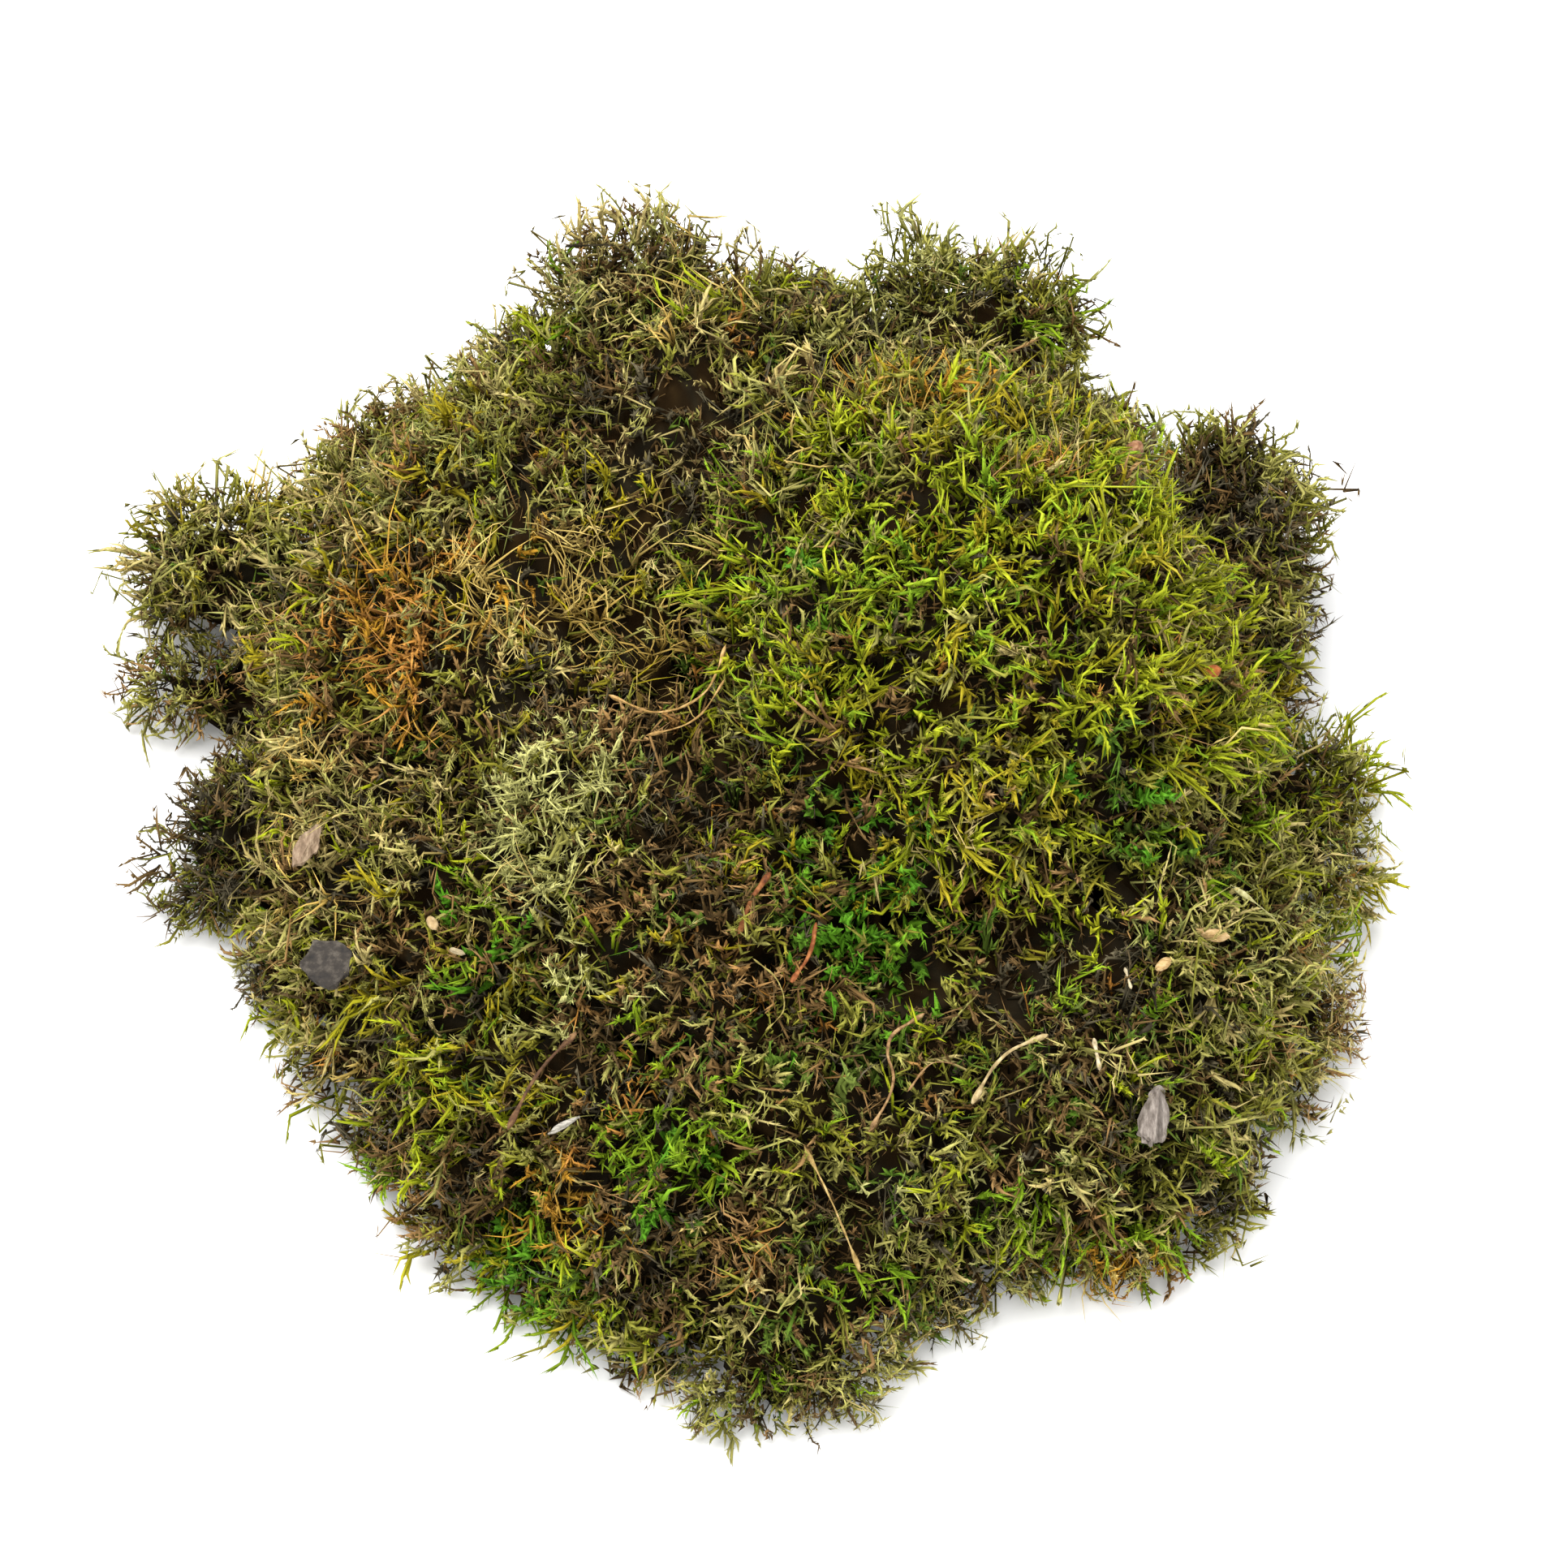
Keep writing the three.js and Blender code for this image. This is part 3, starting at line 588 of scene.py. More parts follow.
def soft_noise(points, size, seed):
    """Smooth values about -1 to 1 that change over the given size in metres."""
    pick = np.random.default_rng(seed)
    total = np.zeros(len(points))
    for _ in range(NOISE_WAVES):
        direction = pick.normal(size=3)
        direction /= np.linalg.norm(direction)
        pitch = 2 * math.pi / (size * pick.uniform(1.2, 3.2))
        total += np.sin(points @ direction * pitch + pick.uniform(0, 2 * math.pi))
    return total / math.sqrt(NOISE_WAVES / 2) * 0.75


# ---- the open surface of each mat --------------------------------------------------------------
def merged_copy(node):
    mesh = bmesh.new()
    mesh.from_mesh(frame["nodes"][node].data)
    bmesh.ops.remove_doubles(mesh, verts=mesh.verts, dist=0.02 * MM)
    return mesh


MOSS_NODES = list(COVER)
NODE_SLOT = {s["node"]: s["material_slot"] for s in frame["record"]["subparts"]}
trees = {}
for moss_node in MOSS_NODES:
    whole = merged_copy(moss_node)
    trees[moss_node] = BVHTree.FromBMesh(whole)
    whole.free()


def is_open(point, normal, own, reach=7 * MM):
    """True where no other mat lies close in front of the surface."""
    if normal.z < -0.6 and point.z < 2 * MM:
        return False
    start = point + normal * 0.05 * MM
    for node, tree in trees.items():
        if node != own and tree.ray_cast(start, normal, reach)[0] is not None:
            return False
    return True


def swell_at(points):
    """How far the moss stands up or sinks at each point, about -1 to 1."""
    broad = 0.5 * soft_noise(points, 12 * MM, 60) + 0.35 * soft_noise(points, 6 * MM, 61)
    return np.clip(broad + 0.25 * soft_noise(points, 3.5 * MM, 62), -1.2, 0.9)


ROOT_DEPTH = 6.3 * MM
BODY_DEPTH = 10 * MM
BODY_SWELL = 4.4 * MM
BODY_EDGE = 2.4 * MM
LOBE_TUCK = 0.8


TRIES_PER_SPACE = 8


def open_faces(mesh, node):
    return [f for f in mesh.faces if is_open(f.calc_center_median(), f.normal, node)]


def finer_where_open(mesh, node):
    """Divide the long edges of the open faces, in three passes, and ease the new ones."""
    for length in (4, 2, 1):
        open_edges = {e for f in open_faces(mesh, node) for e in f.edges}
        long_edges = [e for e in open_edges if e.calc_length() > length * BODY_EDGE]
        bmesh.ops.subdivide_edges(mesh, edges=long_edges, cuts=1)
        bmesh.ops.triangulate(mesh, faces=[f for f in mesh.faces if len(f.verts) > 3])
    mesh.normal_update()
    open_verts = {v for f in open_faces(mesh, node) for v in f.verts}
    bmesh.ops.smooth_vert(
        mesh, verts=[v for v in open_verts if v.co.z > 0.5 * MM], factor=0.5,
        use_axis_x=True, use_axis_y=True, use_axis_z=True)
    mesh.normal_update()
    return open_verts


def thatch_body(node, small):
    """The matted body under the shoots: the mat drawn in all over, and rough where it is open."""
    mesh = merged_copy(node)
    open_verts = finer_where_open(mesh, node)
    points = np.array([v.co for v in mesh.verts])
    swell = swell_at(points)
    crumbs = soft_noise(points, 2.2 * MM, 31)
    tuck = 0.0 if node.endswith("_mat") else LOBE_TUCK
    for v, rise, crumb in zip(mesh.verts, swell, crumbs):
        outward = v.co.normalized()
        depth = (BODY_DEPTH - BODY_SWELL * rise) * small
        move = -outward * depth
        if v in open_verts:
            sideways = v.normal - outward * v.normal.dot(outward)
            move -= sideways * depth * tuck + v.normal * 0.5 * MM * crumb
        v.co = v.co + move
        v.co.z = max(v.co.z, 0.1 * MM)
    mesh.verts.index_update()
    made = np.array([v.co for v in mesh.verts])
    faces = np.array([[v.index for v in f.verts] for f in mesh.faces])
    mesh.free()
    # The thatch takes the charcoal root colour kept near its darkest: partly the dead thatch's own
    # dark brown, partly painted shade in the gaps between the shoots.
    streaks = np.clip(np.abs(soft_noise(made, 7 * MM, 35)), 0, 1)
    tone = TONE_AT["charcoal"] + streaks / len(TONES)
    shade = np.clip(0.05 * soft_noise(made, 1.6 * MM, 34), 0, 0.1)
    side = np.where(np.arange(len(made)) % 2, 1.0, -1.0)
    return made, faces, tone, shade, side


def open_corners(node):
    """Corners, smooth normals and areas of the triangles of the open surface."""
    mesh = merged_copy(node)
    bmesh.ops.triangulate(mesh, faces=mesh.faces)
    faces = [f for f in open_faces(mesh, node) if f.calc_area() > 1e-9]
    corner_normals = {}
    for f in faces:
        for v in f.verts:
            corner_normals.setdefault(v.index, Vector())
            corner_normals[v.index] += f.normal * f.calc_area()
    corners = np.array([[v.co for v in f.verts] for f in faces])
    normals = np.array([[corner_normals[v.index].normalized() for v in f.verts] for f in faces])
    areas = np.array([f.calc_area() for f in faces])
    mesh.free()
    return corners, normals, areas


def spread_apart(points, spacing):
    """Which of the points to keep, so that no two are closer than the spacing."""
    kept, grid = [], {}
    for i, point in enumerate(points):
        cell = tuple((point // spacing).astype(int))
        near = (
            grid.get((cell[0] + dx, cell[1] + dy, cell[2] + dz), [])
            for dx in (-1, 0, 1) for dy in (-1, 0, 1) for dz in (-1, 0, 1)
        )
        if all(np.sum((points[k] - point) ** 2) > spacing ** 2 for cells in near for k in cells):
            grid.setdefault(cell, []).append(i)
            kept.append(i)
    return kept


def open_samples(node, spacing):
    """Points spread over the open surface about a spacing apart, with smooth normals."""
    corners, normals, areas = open_corners(node)
    tries = int(TRIES_PER_SPACE * areas.sum() / spacing ** 2)
    pick = rng.choice(len(areas), size=tries, p=areas / areas.sum())
    a = rng.random((tries, 2))
    a[a.sum(1) > 1] = 1 - a[a.sum(1) > 1]
    weights = np.stack([1 - a.sum(1), a[:, 0], a[:, 1]], 1)[:, :, None]
    points = (corners[pick] * weights).sum(1)
    directions = (normals[pick] * weights).sum(1)
    directions /= np.linalg.norm(directions, axis=1)[:, None]
    kept = spread_apart(points, spacing)
    return points[kept], directions[kept]


# ---- choosing tones ----------------------------------------------------------------------------
def pick_from(shares):
    names = list(shares)
    weights = np.array([shares[n] for n in names], float)
    return names[rng.choice(len(names), p=weights / weights.sum())]


DARK_HOLLOW = -0.35  # how deep a hollow is before its tufts mostly take dark tones, as painted shade
HOLLOW_SHARE = 0.6  # how much of such a hollow is dark
MIXED_SHARE = 0.45  # how many tufts don't follow the patch they stand in
COLONY_EDGE = 2.6  # how sharply a colony ends: higher is sharper
HOLLOW_TONES = {"dark_brown": 4, "charcoal": 3, "earth": 1.5, "deep_green": 1, "olive": 1}
CLEAR_TONES = ("straw", "rust", "orange", "emerald", "pale_lichen", "lime")
STRAY_SHARE = 0.33  # shoots of another tone in a tuft
CLEAR_STRAY_SHARE = 0.08


def tone_at(point, swell, patches, cover):
    """The tone of a tuft: a colony's if it is inside one, else that of its patch of the mat."""
    for x, y, radius, tones, strength in PLACES:
        away = math.hypot(point[0] - x, point[1] - y) / radius
        if rng.random() < strength * math.exp(-(away ** COLONY_EDGE)):
            return pick_from(tones)
    # Tufts deep in a hollow mostly take dark tones: painted shade of the hollow.
    if swell < DARK_HOLLOW and "pale_lichen" not in cover and rng.random() < HOLLOW_SHARE:
        return pick_from(HOLLOW_TONES)
    if rng.random() < MIXED_SHARE:
        return pick_from(cover)
    nearest = min(patches, key=lambda patch: np.sum((patch[0] - point) ** 2))
    return nearest[1]


# ---- growing the shoots ------------------------------------------------------------------------
WAVES = 7  # radians of waviness along a shoot
WAVE_STARTS = 40  # spreads where the waves start from shoot to shoot
STRAIGHT_ARC = 0.05


def unit(v):
    return v / np.maximum(np.linalg.norm(v, axis=1)[:, None], 1e-12)


def bent(points, side, arc, wave, thickness, tone):
    """The points of a unit shoot for every row: leaned sideways, arched outwards and wavy."""
    up_stem = points[:, 2][None, :]
    start = WAVE_STARTS * tone[:, None]
    turn = arc * up_stem
    safe = np.where(np.abs(arc) < STRAIGHT_ARC, STRAIGHT_ARC, arc)
    off = thickness * points[:, 1][None, :]
    x = thickness * points[:, 0][None, :] + side * up_stem ** 2
    x = x + wave * (np.sin(WAVES * up_stem + start) - np.sin(start))
    y = (1 - np.cos(turn)) / safe + off * np.cos(turn)
    y = y + wave * (np.cos(WAVES * up_stem + start) - np.cos(start))
    z = np.sin(turn) / safe - off * np.sin(turn)
    return x, y, z


def kept_in(points):
    """Lift shoots off the floor, and lower those that stand too high."""
    height = points[:, :, 2]
    height += np.maximum(0, FLOOR_CLEAR - height.min(1))[:, None]
    height -= np.maximum(0, height.max(1) - HIGHEST_TIP)[:, None]
    return points


class Growth:
    """Collects shoots of one piece, and turns them into one mesh."""

    def __init__(self):
        self.parts = []
        self.asked = {}

    def add(self, kind, variant, root, along, up, length, width, tone, gain, bend):
        self.asked.setdefault((kind, variant), []).append(
            (*root, *along, *up, length, width, tone, gain, *bend))

    def grow(self):
        for (kind, variant), rows in self.asked.items():
            self.parts.append(self.copies(KINDS[kind][variant], np.array(rows)))
        self.asked = {}

    def copies(self, shoot, rows):
        """One copy of a shoot for each row, all in one mesh."""
        root, along, up = rows[:, 0:3], rows[:, 3:6], rows[:, 6:9]
        length, width, tone, gain = rows[:, 9], rows[:, 10], rows[:, 11], rows[:, 12]
        side, arc, wave = rows[:, 13:14], rows[:, 14:15], rows[:, 15:16]
        right = unit(np.cross(up, along))
        up = np.cross(along, right)
        x, y, z = bent(shoot.points, side, arc, wave, (width / length)[:, None], tone)
        local = x[..., None] * right[:, None] + y[..., None] * up[:, None]
        local = (local + z[..., None] * along[:, None]) * length[:, None, None]
        points = kept_in(root[:, None] + local)
        count = len(shoot.points)
        shade = np.clip(shoot.shade[None, :] * gain[:, None], 0, 1)
        tones = np.repeat(tone[:, None], count, 1)
        sides = np.repeat(shoot.side[None, :], len(rows), 0)
        faces = shoot.faces[None] + (np.arange(len(rows)) * count)[:, None, None]
        return (points.reshape(-1, 3), faces.reshape(-1, 3), tones.ravel(), shade.ravel(),
                sides.ravel())


def joined(parts):
    starts = np.cumsum([0] + [len(p[0]) for p in parts[:-1]])
    faces = np.concatenate([p[1] + s for p, s in zip(parts, starts)])
    return (np.concatenate([p[0] for p in parts]), faces,
            *(np.concatenate([p[k] for p in parts]) for k in (2, 3, 4)))


def mesh_object(name, points, faces, tone, shade, side):
    """One object from joined arrays, with its tone, its shade, and a map laid out by both."""
    mesh = bpy.data.meshes.new(name)
    mesh.vertices.add(len(points))
    mesh.vertices.foreach_set("co", points.astype(np.float32).ravel())
    mesh.loops.add(faces.size)
    mesh.loops.foreach_set("vertex_index", faces.astype(np.int32).ravel())
    mesh.polygons.add(len(faces))
    mesh.polygons.foreach_set("loop_start", np.arange(0, faces.size, 3, dtype=np.int32))
    mesh.polygons.foreach_set("use_smooth", np.ones(len(faces), dtype=bool))
    mesh.update(calc_edges=True)
    for label, values in (("tone", tone), ("shade", shade)):
        layer = mesh.attributes.new(label, "FLOAT", "POINT")
        layer.data.foreach_set("value", values.astype(np.float32))
    layout = mesh.uv_layers.new(name="OFBake")
    across = np.clip(tone + 0.004 * side, 0, 1)
    uv = np.stack([across, 0.02 + 0.96 * shade], 1)[faces.ravel()]
    layout.data.foreach_set("uv", uv.astype(np.float32).ravel())
    mesh.validate()
    thing = bpy.data.objects.new(name, mesh)
    bpy.context.scene.collection.objects.link(thing)
    return thing


def flow_at(points, seed):
    """A slowly turning direction, so that neighbouring shoots lie much the same way."""
    a = soft_noise(points, 11 * MM, seed)
    b = soft_noise(points, 11 * MM, seed + 1)
    c = soft_noise(points, 11 * MM, seed + 2)
    return np.stack([a, b, c * 0.4], 1)


SHOOTS_IN_TUFT = {"scrub": 4, "thread": 2, "wire": 3, "sickle": 2, "feather": 2, "sprig": 3,
                  "shoot": 4, "flat_shoot": 3, "plume": 2, "curl": 3}
# How much higher than the rest the shoots of a tone stand, in mm.
STANDING = {"charcoal": -0.5, "dark_brown": -0.4, "earth": -0.2, "deep_green": -0.5,
            "yellow_green": 0.8, "lime": 0.6, "pale_lichen": 1.0, "straw": 0.8, "tan": 0.5,
            "khaki": 0.4, "rust": 0.8, "orange": 0.6}
SHOOT_WIDTH = 9.5 * MM
TUFT_SPACING = 2.86 * MM
UNDER_SPACING = 2.6 * MM


def tuft_frame(normal, flow, spot):
    """Outward, along the lie of the moss, and across it."""
    out = normal + (0.35 if spot[2] < 8 * MM else 0.1) * np.array((0, 0, 1))
    out /= np.linalg.norm(out)
    lie = flow - out * np.dot(flow, out)
    lie /= max(np.linalg.norm(lie), 1e-9)
    return out, lie, np.cross(out, lie)


WAVY_KINDS = ("curl", "thread", "wire", "sickle")
WAVE_HEIGHTS = (0.1, 0.17)  # of a plain and of a wavy kind, as a share of the length
ARCS = (1.5, 2.0)  # radians that a plain shoot and a curl turn over
ARC_SPREAD = 0.7
OUTWARD_SHARE = 0.75  # how many arch outwards and not inwards
SIDE_BEND = 0.35


def random_bend(kind):
    """How far a shoot leans over sideways and outwards at its tip, and how wavy it is."""
    wave = WAVE_HEIGHTS[kind in WAVY_KINDS]
    arc = rng.normal(ARCS[kind == "curl"], ARC_SPREAD)
    arc *= 1 if rng.random() < OUTWARD_SHARE else -1
    return rng.normal(0, SIDE_BEND), arc, rng.normal(0, wave)


LEAN = 0.65  # radians from upright
LOBE_LEAN = 0.3  # more, on the small lobes
LEAN_SPREAD = 0.4
MOST_LEAN = 1.4
TUFT_WIDTH = 2.6 * MM  # how far apart the roots of a tuft are
LONG_SHARE = 0.035  # how many shoots trail out longer than the rest
LONG_REACH = (1.3, 1.7)
LONG_LEAN = 1.1


def grow_tuft(growth, spot, normal, flow, swell, tone_name, cover, small):
    """A few shoots of one kind that fan out from one root."""
    kinds, (shortest, longest) = GROWTH[tone_name]
    kind = pick_from(kinds)
    out, lie, across = tuft_frame(normal, flow, spot)
    standing = STANDING.get(tone_name, 0) * MM
    root = spot - normal * (ROOT_DEPTH - BODY_SWELL * swell - standing) * small
    heading = rng.normal(0, 1)
    # The gain rises with the swell: tufts on rises are painted lighter and those in hollows darker,
    # as painted light and painted shade.
    gain = float(np.clip(rng.normal(0.95, 0.16), 0.55, 1.3)) * (1 + 0.3 * min(swell, 1))
    tuft_tone = TONE_AT[tone_name] + rng.normal(0, 0.01)
    strays = CLEAR_STRAY_SHARE if tone_name in CLEAR_TONES else STRAY_SHARE
    for _ in range(SHOOTS_IN_TUFT[kind]):
        turn = heading + rng.normal(0, 1.1)
        lean = np.clip(rng.normal(LEAN + LOBE_LEAN * (small < 1), LEAN_SPREAD), 0.0, MOST_LEAN)
        length = rng.uniform(shortest, longest) * MM * small
        if kind not in ("wire", "thread") and rng.random() < LONG_SHARE:
            length *= rng.uniform(*LONG_REACH)
            lean = max(lean, LONG_LEAN)
        tangent = lie * math.cos(turn) + across * math.sin(turn)
        along = out * math.cos(lean) + tangent * math.sin(lean)
        stray = rng.random() < strays
        tone = TONE_AT[pick_from(cover)] if stray else tuft_tone + rng.normal(0, 0.008)
        growth.add(
            kind, int(rng.integers(len(KINDS[kind]))), root + tangent * rng.uniform(0, TUFT_WIDTH),
            along, out, length, SHOOT_WIDTH * small * rng.uniform(0.8, 1.15), tone,
            gain * rng.uniform(0.85, 1.1), random_bend(kind))


LOBE_RAGGED = 0.8  # how unevenly the small lobes stand up
FULL_SIZE = 28 * MM  # pieces lower or narrower than this have smaller shoots
TUFTS_IN_PATCH = 6
UNDERGROWTH = {"dark_brown": 4, "earth": 1.5, "charcoal": 3, "olive": 3, "khaki": 1,
               "deep_green": 0.6, "rust": 0.2}


def grow_under(growth, node, small):
    """Dead leafy stems and bare wiry ones that lie about low in the moss and fill its gaps."""
    spots, normals = open_samples(node, UNDER_SPACING * small ** 0.5)
    swells = swell_at(spots)
    for spot, normal, swell in zip(spots, normals, swells):
        tangent = np.cross(normal, rng.normal(size=3))
        tangent /= np.linalg.norm(tangent)
        kind = pick_from({"scrub": 0.6, "wire": 0.25, "curl": 0.15})
        lift = 0.5 if kind == "scrub" else 0.3
        along = normal * rng.normal(lift, 0.25) + tangent
        along /= np.linalg.norm(along)
        sink = (ROOT_DEPTH - BODY_SWELL * swell) * small - rng.uniform(-2, 1.5) * MM
        growth.add(
            kind, int(rng.integers(len(KINDS[kind]))), spot - normal * sink, along, normal,
            rng.uniform(4.5, 9) * MM * small, SHOOT_WIDTH * small * rng.uniform(0.8, 1.1),
            TONE_AT[pick_from(UNDERGROWTH)], rng.uniform(0.5, 0.95), random_bend("wire"))


def grow_moss(node):
    """A mat, lobe or tuft of moss: its thatch, dead stems low down, and the living tufts."""
    cover, closeness = COVER[node]
    slot = NODE_SLOT[node]
    low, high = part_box(node)
    small = min(1.0, 0.5 + 0.5 * min(high - low) / FULL_SIZE)
    growth = Growth()
    spots, normals = open_samples(node, TUFT_SPACING * small ** 0.5 / math.sqrt(closeness))
    patch_count = max(3, len(spots) // TUFTS_IN_PATCH)
    chosen = rng.choice(len(spots), size=min(patch_count, len(spots)), replace=False)
    patches = [(spots[i], pick_from(cover)) for i in chosen]
    flows = flow_at(spots, 50)
    swells = swell_at(spots)
    if small < 1:
        swells = swells + LOBE_RAGGED * soft_noise(spots, 9 * MM, 70)
    for spot, normal, flow, swell in zip(spots, normals, flows, swells):
        name = tone_at(spot, swell, patches, cover)
        grow_tuft(growth, spot, normal, flow, swell, name, cover, small)
    grow_under(growth, node, small)
    growth.grow()
    piece = mesh_object(node + "_moss", *joined([thatch_body(node, small), *growth.parts]))
    piece.data.materials.append(materials[slot])
    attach(piece, "root")
    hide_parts(node)


# ---- litter caught on the moss -----------------------------------------------------------------
# Each piece: dark, middle and light colours, how much thinner than its solid (mm), how rough
# (mm), and how much its colour streaks along the three axes.
LITTER = {
    "brown_twig": ("2c1c10", "5e4028", "8e6c46", 0.27, 0.12, (1, 1, 1)),
    "rust_strip_1": ("3a1c0c", "7a4420", "a87040", 0.24, 0.1, (1, 1, 1)),
    "rust_strip_2": ("3a1c0c", "7e421c", "b07040", 0.24, 0.1, (1, 1, 1)),
    "dry_stem": ("4a321c", "8c6a42", "c0a072", 0.22, 0.1, (1, 1, 1)),
    "dry_side_stem": ("4a321c", "8c6a42", "b89868", 0.22, 0.1, (1, 1, 1)),
    "pale_twig": ("6e5a38", "a89264", "d2c094", 0.22, 0.1, (1, 1, 1)),
    "tan_long_stem": ("6a5026", "a88c50", "d0b67c", 0.24, 0.08, (1, 1, 1)),
    "curly_stalk": ("5c5024", "9a8c48", "c8b878", 0.24, 0.08, (1, 1, 1)),
    "curved_stem_1": ("6a4e26", "b08a4e", "d6b67c", 0.24, 0.08, (1, 1, 1)),
    "curved_stem_2": ("6a4e26", "a8844a", "d0ae72", 0.24, 0.08, (1, 1, 1)),
    "straw_thread": ("7c7444", "b4ae74", "dcd8a8", 0.26, 0.05, (1, 1, 1)),
    "pale_needle_1": ("8a7a5a", "c4b490", "e2d6bc", 0.18, 0.05, (1, 1, 1)),
    "pale_needle_2": ("8a7a5a", "c4b490", "e2d6bc", 0.18, 0.05, (1, 1, 1)),
    "bark_flake": ("191512", "342e28", "5a534a", 0.0, 0.5, (1.4, 1.8, 1)),
    "pointed_leaf": ("5c4a36", "86705a", "b09a80", 0.0, 0.4, (3, 1, 1)),
    "curled_leaf": ("4e453d", "786e66", "a49a90", 0.0, 0.6, (4, 1, 1)),
    "white_splinter": ("7c766c", "a8a296", "ccc6ba", 0.2, 0.08, (1, 4, 4)),
    "pale_chip": ("84755a", "aa9a78", "cabc9c", 0.08, 0.1, (1, 1, 1)),
    "pale_seed": ("846c48", "ae9468", "ccb48c", 0.08, 0.06, (1, 1, 1)),
    "tan_husk_1": ("8a6a40", "c4a26c", "dec294", 0.05, 0.1, (1, 4, 1)),
    "tan_husk_2": ("8a6a40", "c09e68", "dabe90", 0.05, 0.1, (1, 4, 1)),
    "cone_scale": ("4a2c1a", "8c6040", "b08a66", 0.05, 0.12, (1, 1, 3)),
    "orange_flake": ("5a2c10", "96501e", "ba763c", 0.05, 0.12, (1, 1, 1)),
}


FLAT_BELOW = 0.05  # a piece that isn't made thinner is flat, and crumples
FLAT_GRAIN = 380
STEM_GRAIN = 700
STEM_TAPER = 0.2  # share of a stem over which each end narrows
STEM_NARROWS = 0.2  # how much thinner (mm) it is at the very end


def end_share(points):
    """1 at the two ends of a long piece, falling to 0 over the taper."""
    middle = points.mean(0)
    axis = np.linalg.svd(points - middle, full_matrices=False)[2][0]
    along = (points - middle) @ axis
    along = (along - along.min()) / (along.max() - along.min())
    return 1 - np.clip(np.minimum(along, 1 - along) / STEM_TAPER, 0, 1)


def finer(mesh, times, smooth):
    """Divide every face, keeping it to triangles."""
    bmesh.ops.triangulate(mesh, faces=mesh.faces)
    for _ in range(times):
        bmesh.ops.subdivide_edges(mesh, edges=mesh.edges, cuts=1, use_grid_fill=True, smooth=smooth)
        bmesh.ops.triangulate(mesh, faces=[f for f in mesh.faces if len(f.verts) > 3])


def worn_mesh(node, thinner, rough):
    """The solid of a piece of litter, made thinner, uneven and, if flat, crumpled."""
    flat = thinner < FLAT_BELOW
    mesh = merged_copy(node)
    finer(mesh, 3 if flat else 2, 0.0 if flat else 0.6)
    if not flat:
        bmesh.ops.smooth_vert(mesh, verts=mesh.verts, factor=0.5,
                              use_axis_x=True, use_axis_y=True, use_axis_z=True)
    mesh.normal_update()
    points = np.array([v.co for v in mesh.verts])
    seed = 300 + 5 * list(LITTER).index(node)
    worn = soft_noise(points, 2.6 * MM, seed) + 0.5 * soft_noise(points, 1.1 * MM, seed + 1)
    ragged = 0.6 * soft_noise(points, 1.6 * MM, seed + 3)
    ragged += 0.4 * soft_noise(points, 0.8 * MM, seed + 4)
    curl = soft_noise(points, 7 * MM, seed + 2)
    ends = end_share(points) * STEM_NARROWS
    for v, wear, turn, end, tear in zip(mesh.verts, worn, curl, ends, ragged):
        if flat:
            edge = 1 - abs(v.normal.z)
            v.co += v.normal * rough * (0.2 * wear + edge * tear) * MM
            v.co.z += rough * 1.4 * turn * MM
        else:
            v.co += v.normal * (rough * 0.5 * wear - thinner - end) * MM
    for face in mesh.faces:
        face.smooth = not flat
    return mesh


def weather(node):
    """Give a piece of litter its thin, uneven, worn shape and its own streaked material."""
    dark, mid, light, thinner, rough, stretch = LITTER[node]
    mesh = worn_mesh(node, thinner, rough)
    data = bpy.data.meshes.new(node + "_worn")
    mesh.to_mesh(data)
    mesh.free()
    piece = bpy.data.objects.new(node + "_worn", data)
    bpy.context.scene.collection.objects.link(piece)
    scale = FLAT_GRAIN if thinner < FLAT_BELOW else STEM_GRAIN
    data.materials.append(litter_material(node + "_look", (dark, mid, light), scale, stretch))
    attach(piece, "root")
    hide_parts(node)


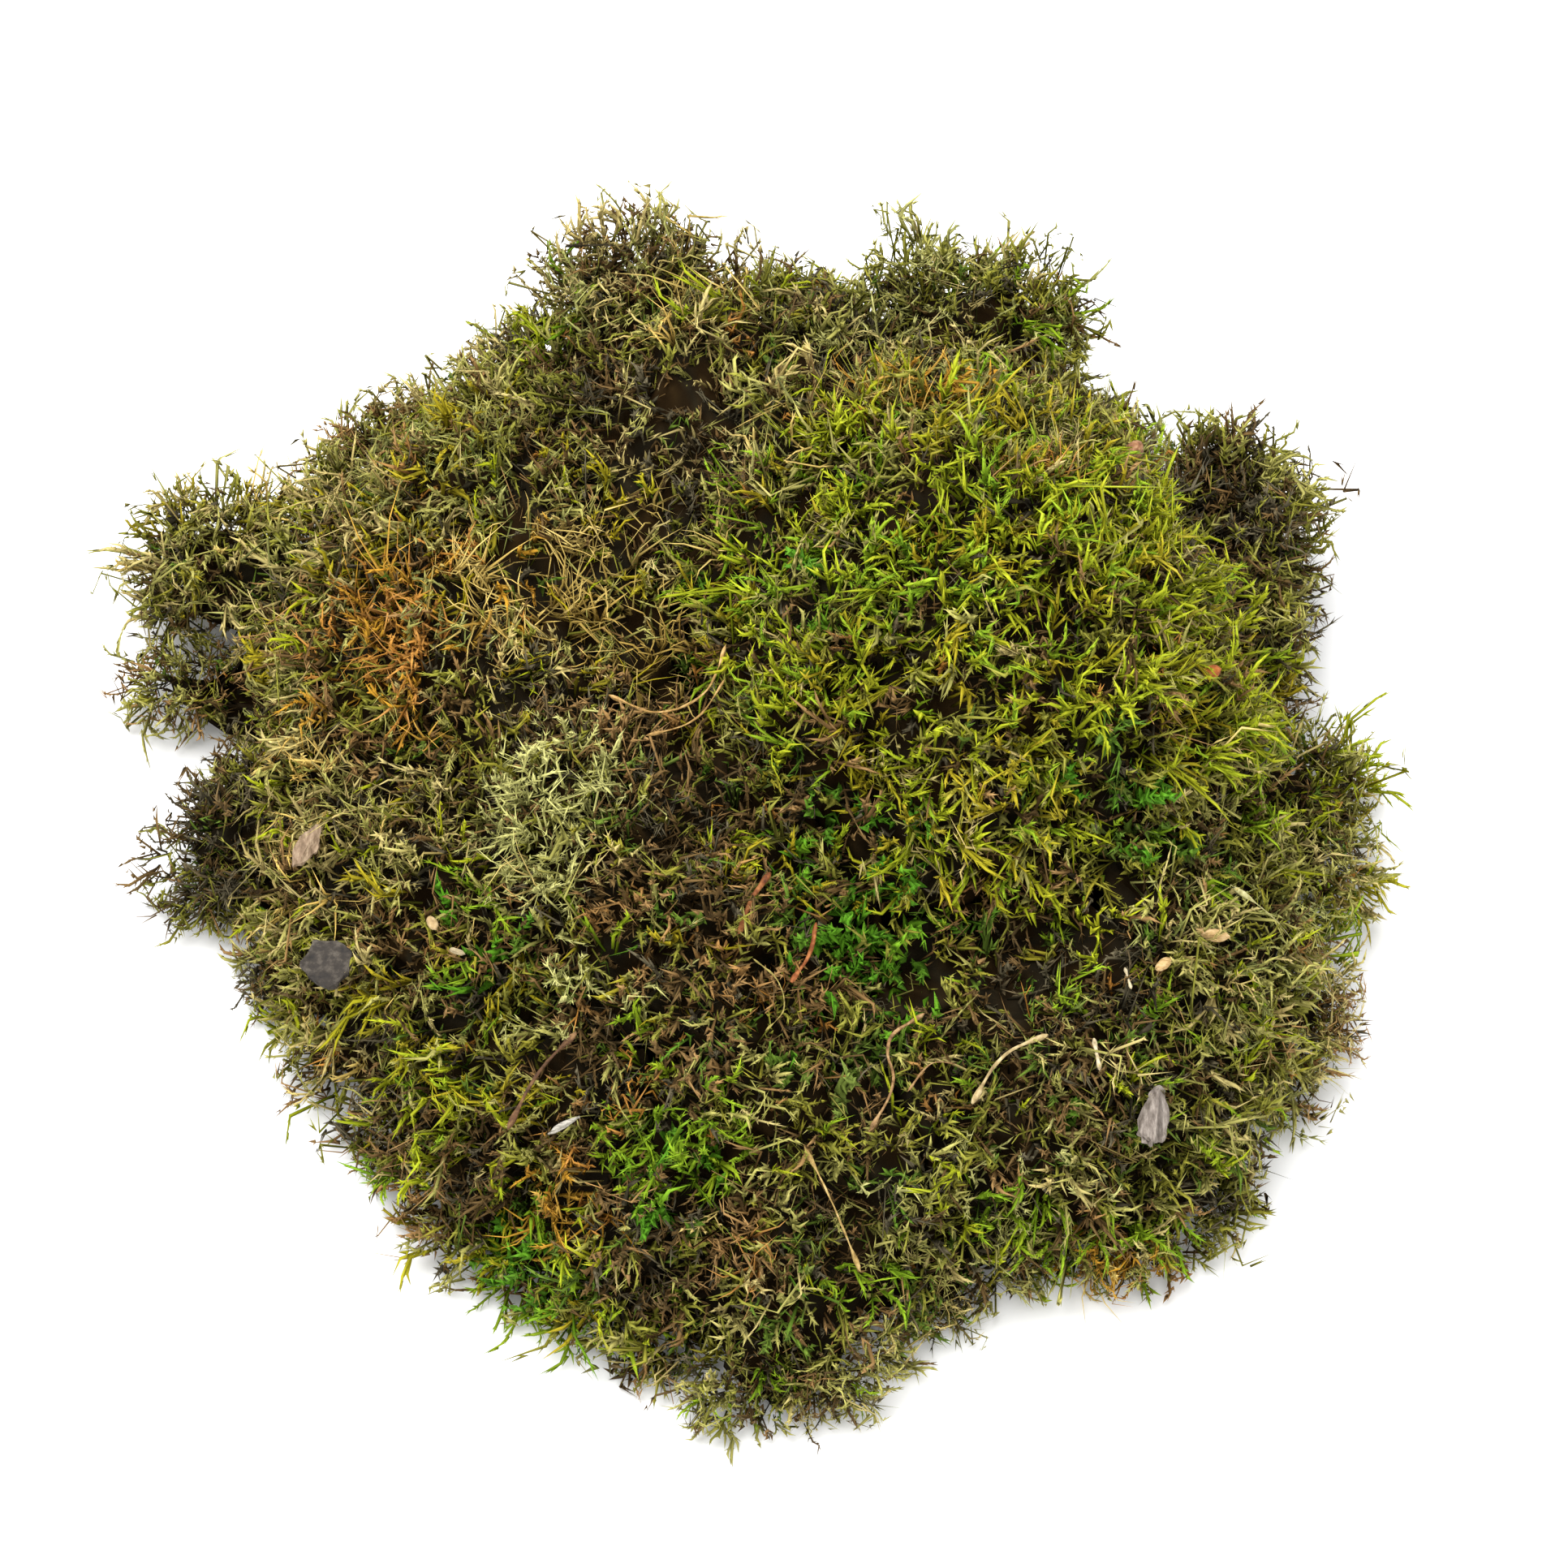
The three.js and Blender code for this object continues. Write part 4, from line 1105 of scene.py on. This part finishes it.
# ---- camera, floor and lights ------------------------------------------------------------------
VIEW_TILT = math.radians(60)  # how far the camera looks down
VIEW_DISTANCE = 0.9
VIEW_WIDTH = 0.2509  # what the picture's width takes in at the target
box_low, box_high = (Vector(corner) for corner in CAD_BOX)
target = Vector((0.006, -0.005, 0.43 * box_high.z))


def add_camera():
    data = bpy.data.cameras.new("camera")
    data.sensor_width = 36
    data.lens = 36 * VIEW_DISTANCE / VIEW_WIDTH
    data.clip_start = 0.05
    camera = bpy.data.objects.new("camera", data)
    away = Vector((0, -math.cos(VIEW_TILT), math.sin(VIEW_TILT)))
    camera.location = target + away * VIEW_DISTANCE
    camera.rotation_euler = (-away).to_track_quat("-Z", "Y").to_euler()
    bpy.context.scene.collection.objects.link(camera)
    bpy.context.scene.camera = camera


def add_floor():
    mesh = bmesh.new()
    bmesh.ops.create_grid(mesh, x_segments=1, y_segments=1, size=3)
    data = bpy.data.meshes.new("floor")
    mesh.to_mesh(data)
    mesh.free()
    floor = bpy.data.objects.new("floor", data)
    bpy.context.scene.collection.objects.link(floor)
    material, nodes, _ = new_material("floor_white", 0.2)
    nodes["Principled BSDF"].inputs["Base Color"].default_value = (0.9, 0.9, 0.9, 1)
    nodes["Principled BSDF"].inputs["Roughness"].default_value = 0.8
    data.materials.append(material)


def add_light(name, size, power, place):
    data = bpy.data.lights.new(name, "AREA")
    data.size = size
    data.energy = power
    light = bpy.data.objects.new(name, data)
    light.location = place
    light.rotation_euler = (Vector((0, 0, 0.03)) - Vector(place)).to_track_quat("-Z", "Y").to_euler()
    bpy.context.scene.collection.objects.link(light)


def add_world():
    world = bpy.data.worlds.new("studio")
    world.use_nodes = True
    background = world.node_tree.nodes["Background"]
    background.inputs["Color"].default_value = (1, 1, 1, 1)
    background.inputs["Strength"].default_value = 1.0
    bpy.context.scene.world = world


# name, size in metres, power in watts, place
LIGHTS = [
    ("overhead", 1.0, 22, (-0.3, 0.2, 1.25)),
    ("front_fill", 1.4, 9, (0.4, -1.2, 0.9)),
]

add_camera()
add_floor()
add_world()
for name, size, power, place in LIGHTS:
    add_light(name, size, power, place)
bpy.context.scene.view_settings.view_transform = "Standard"

for moss_node in MOSS_NODES:
    grow_moss(moss_node)

for litter_node in LITTER:
    weather(litter_node)
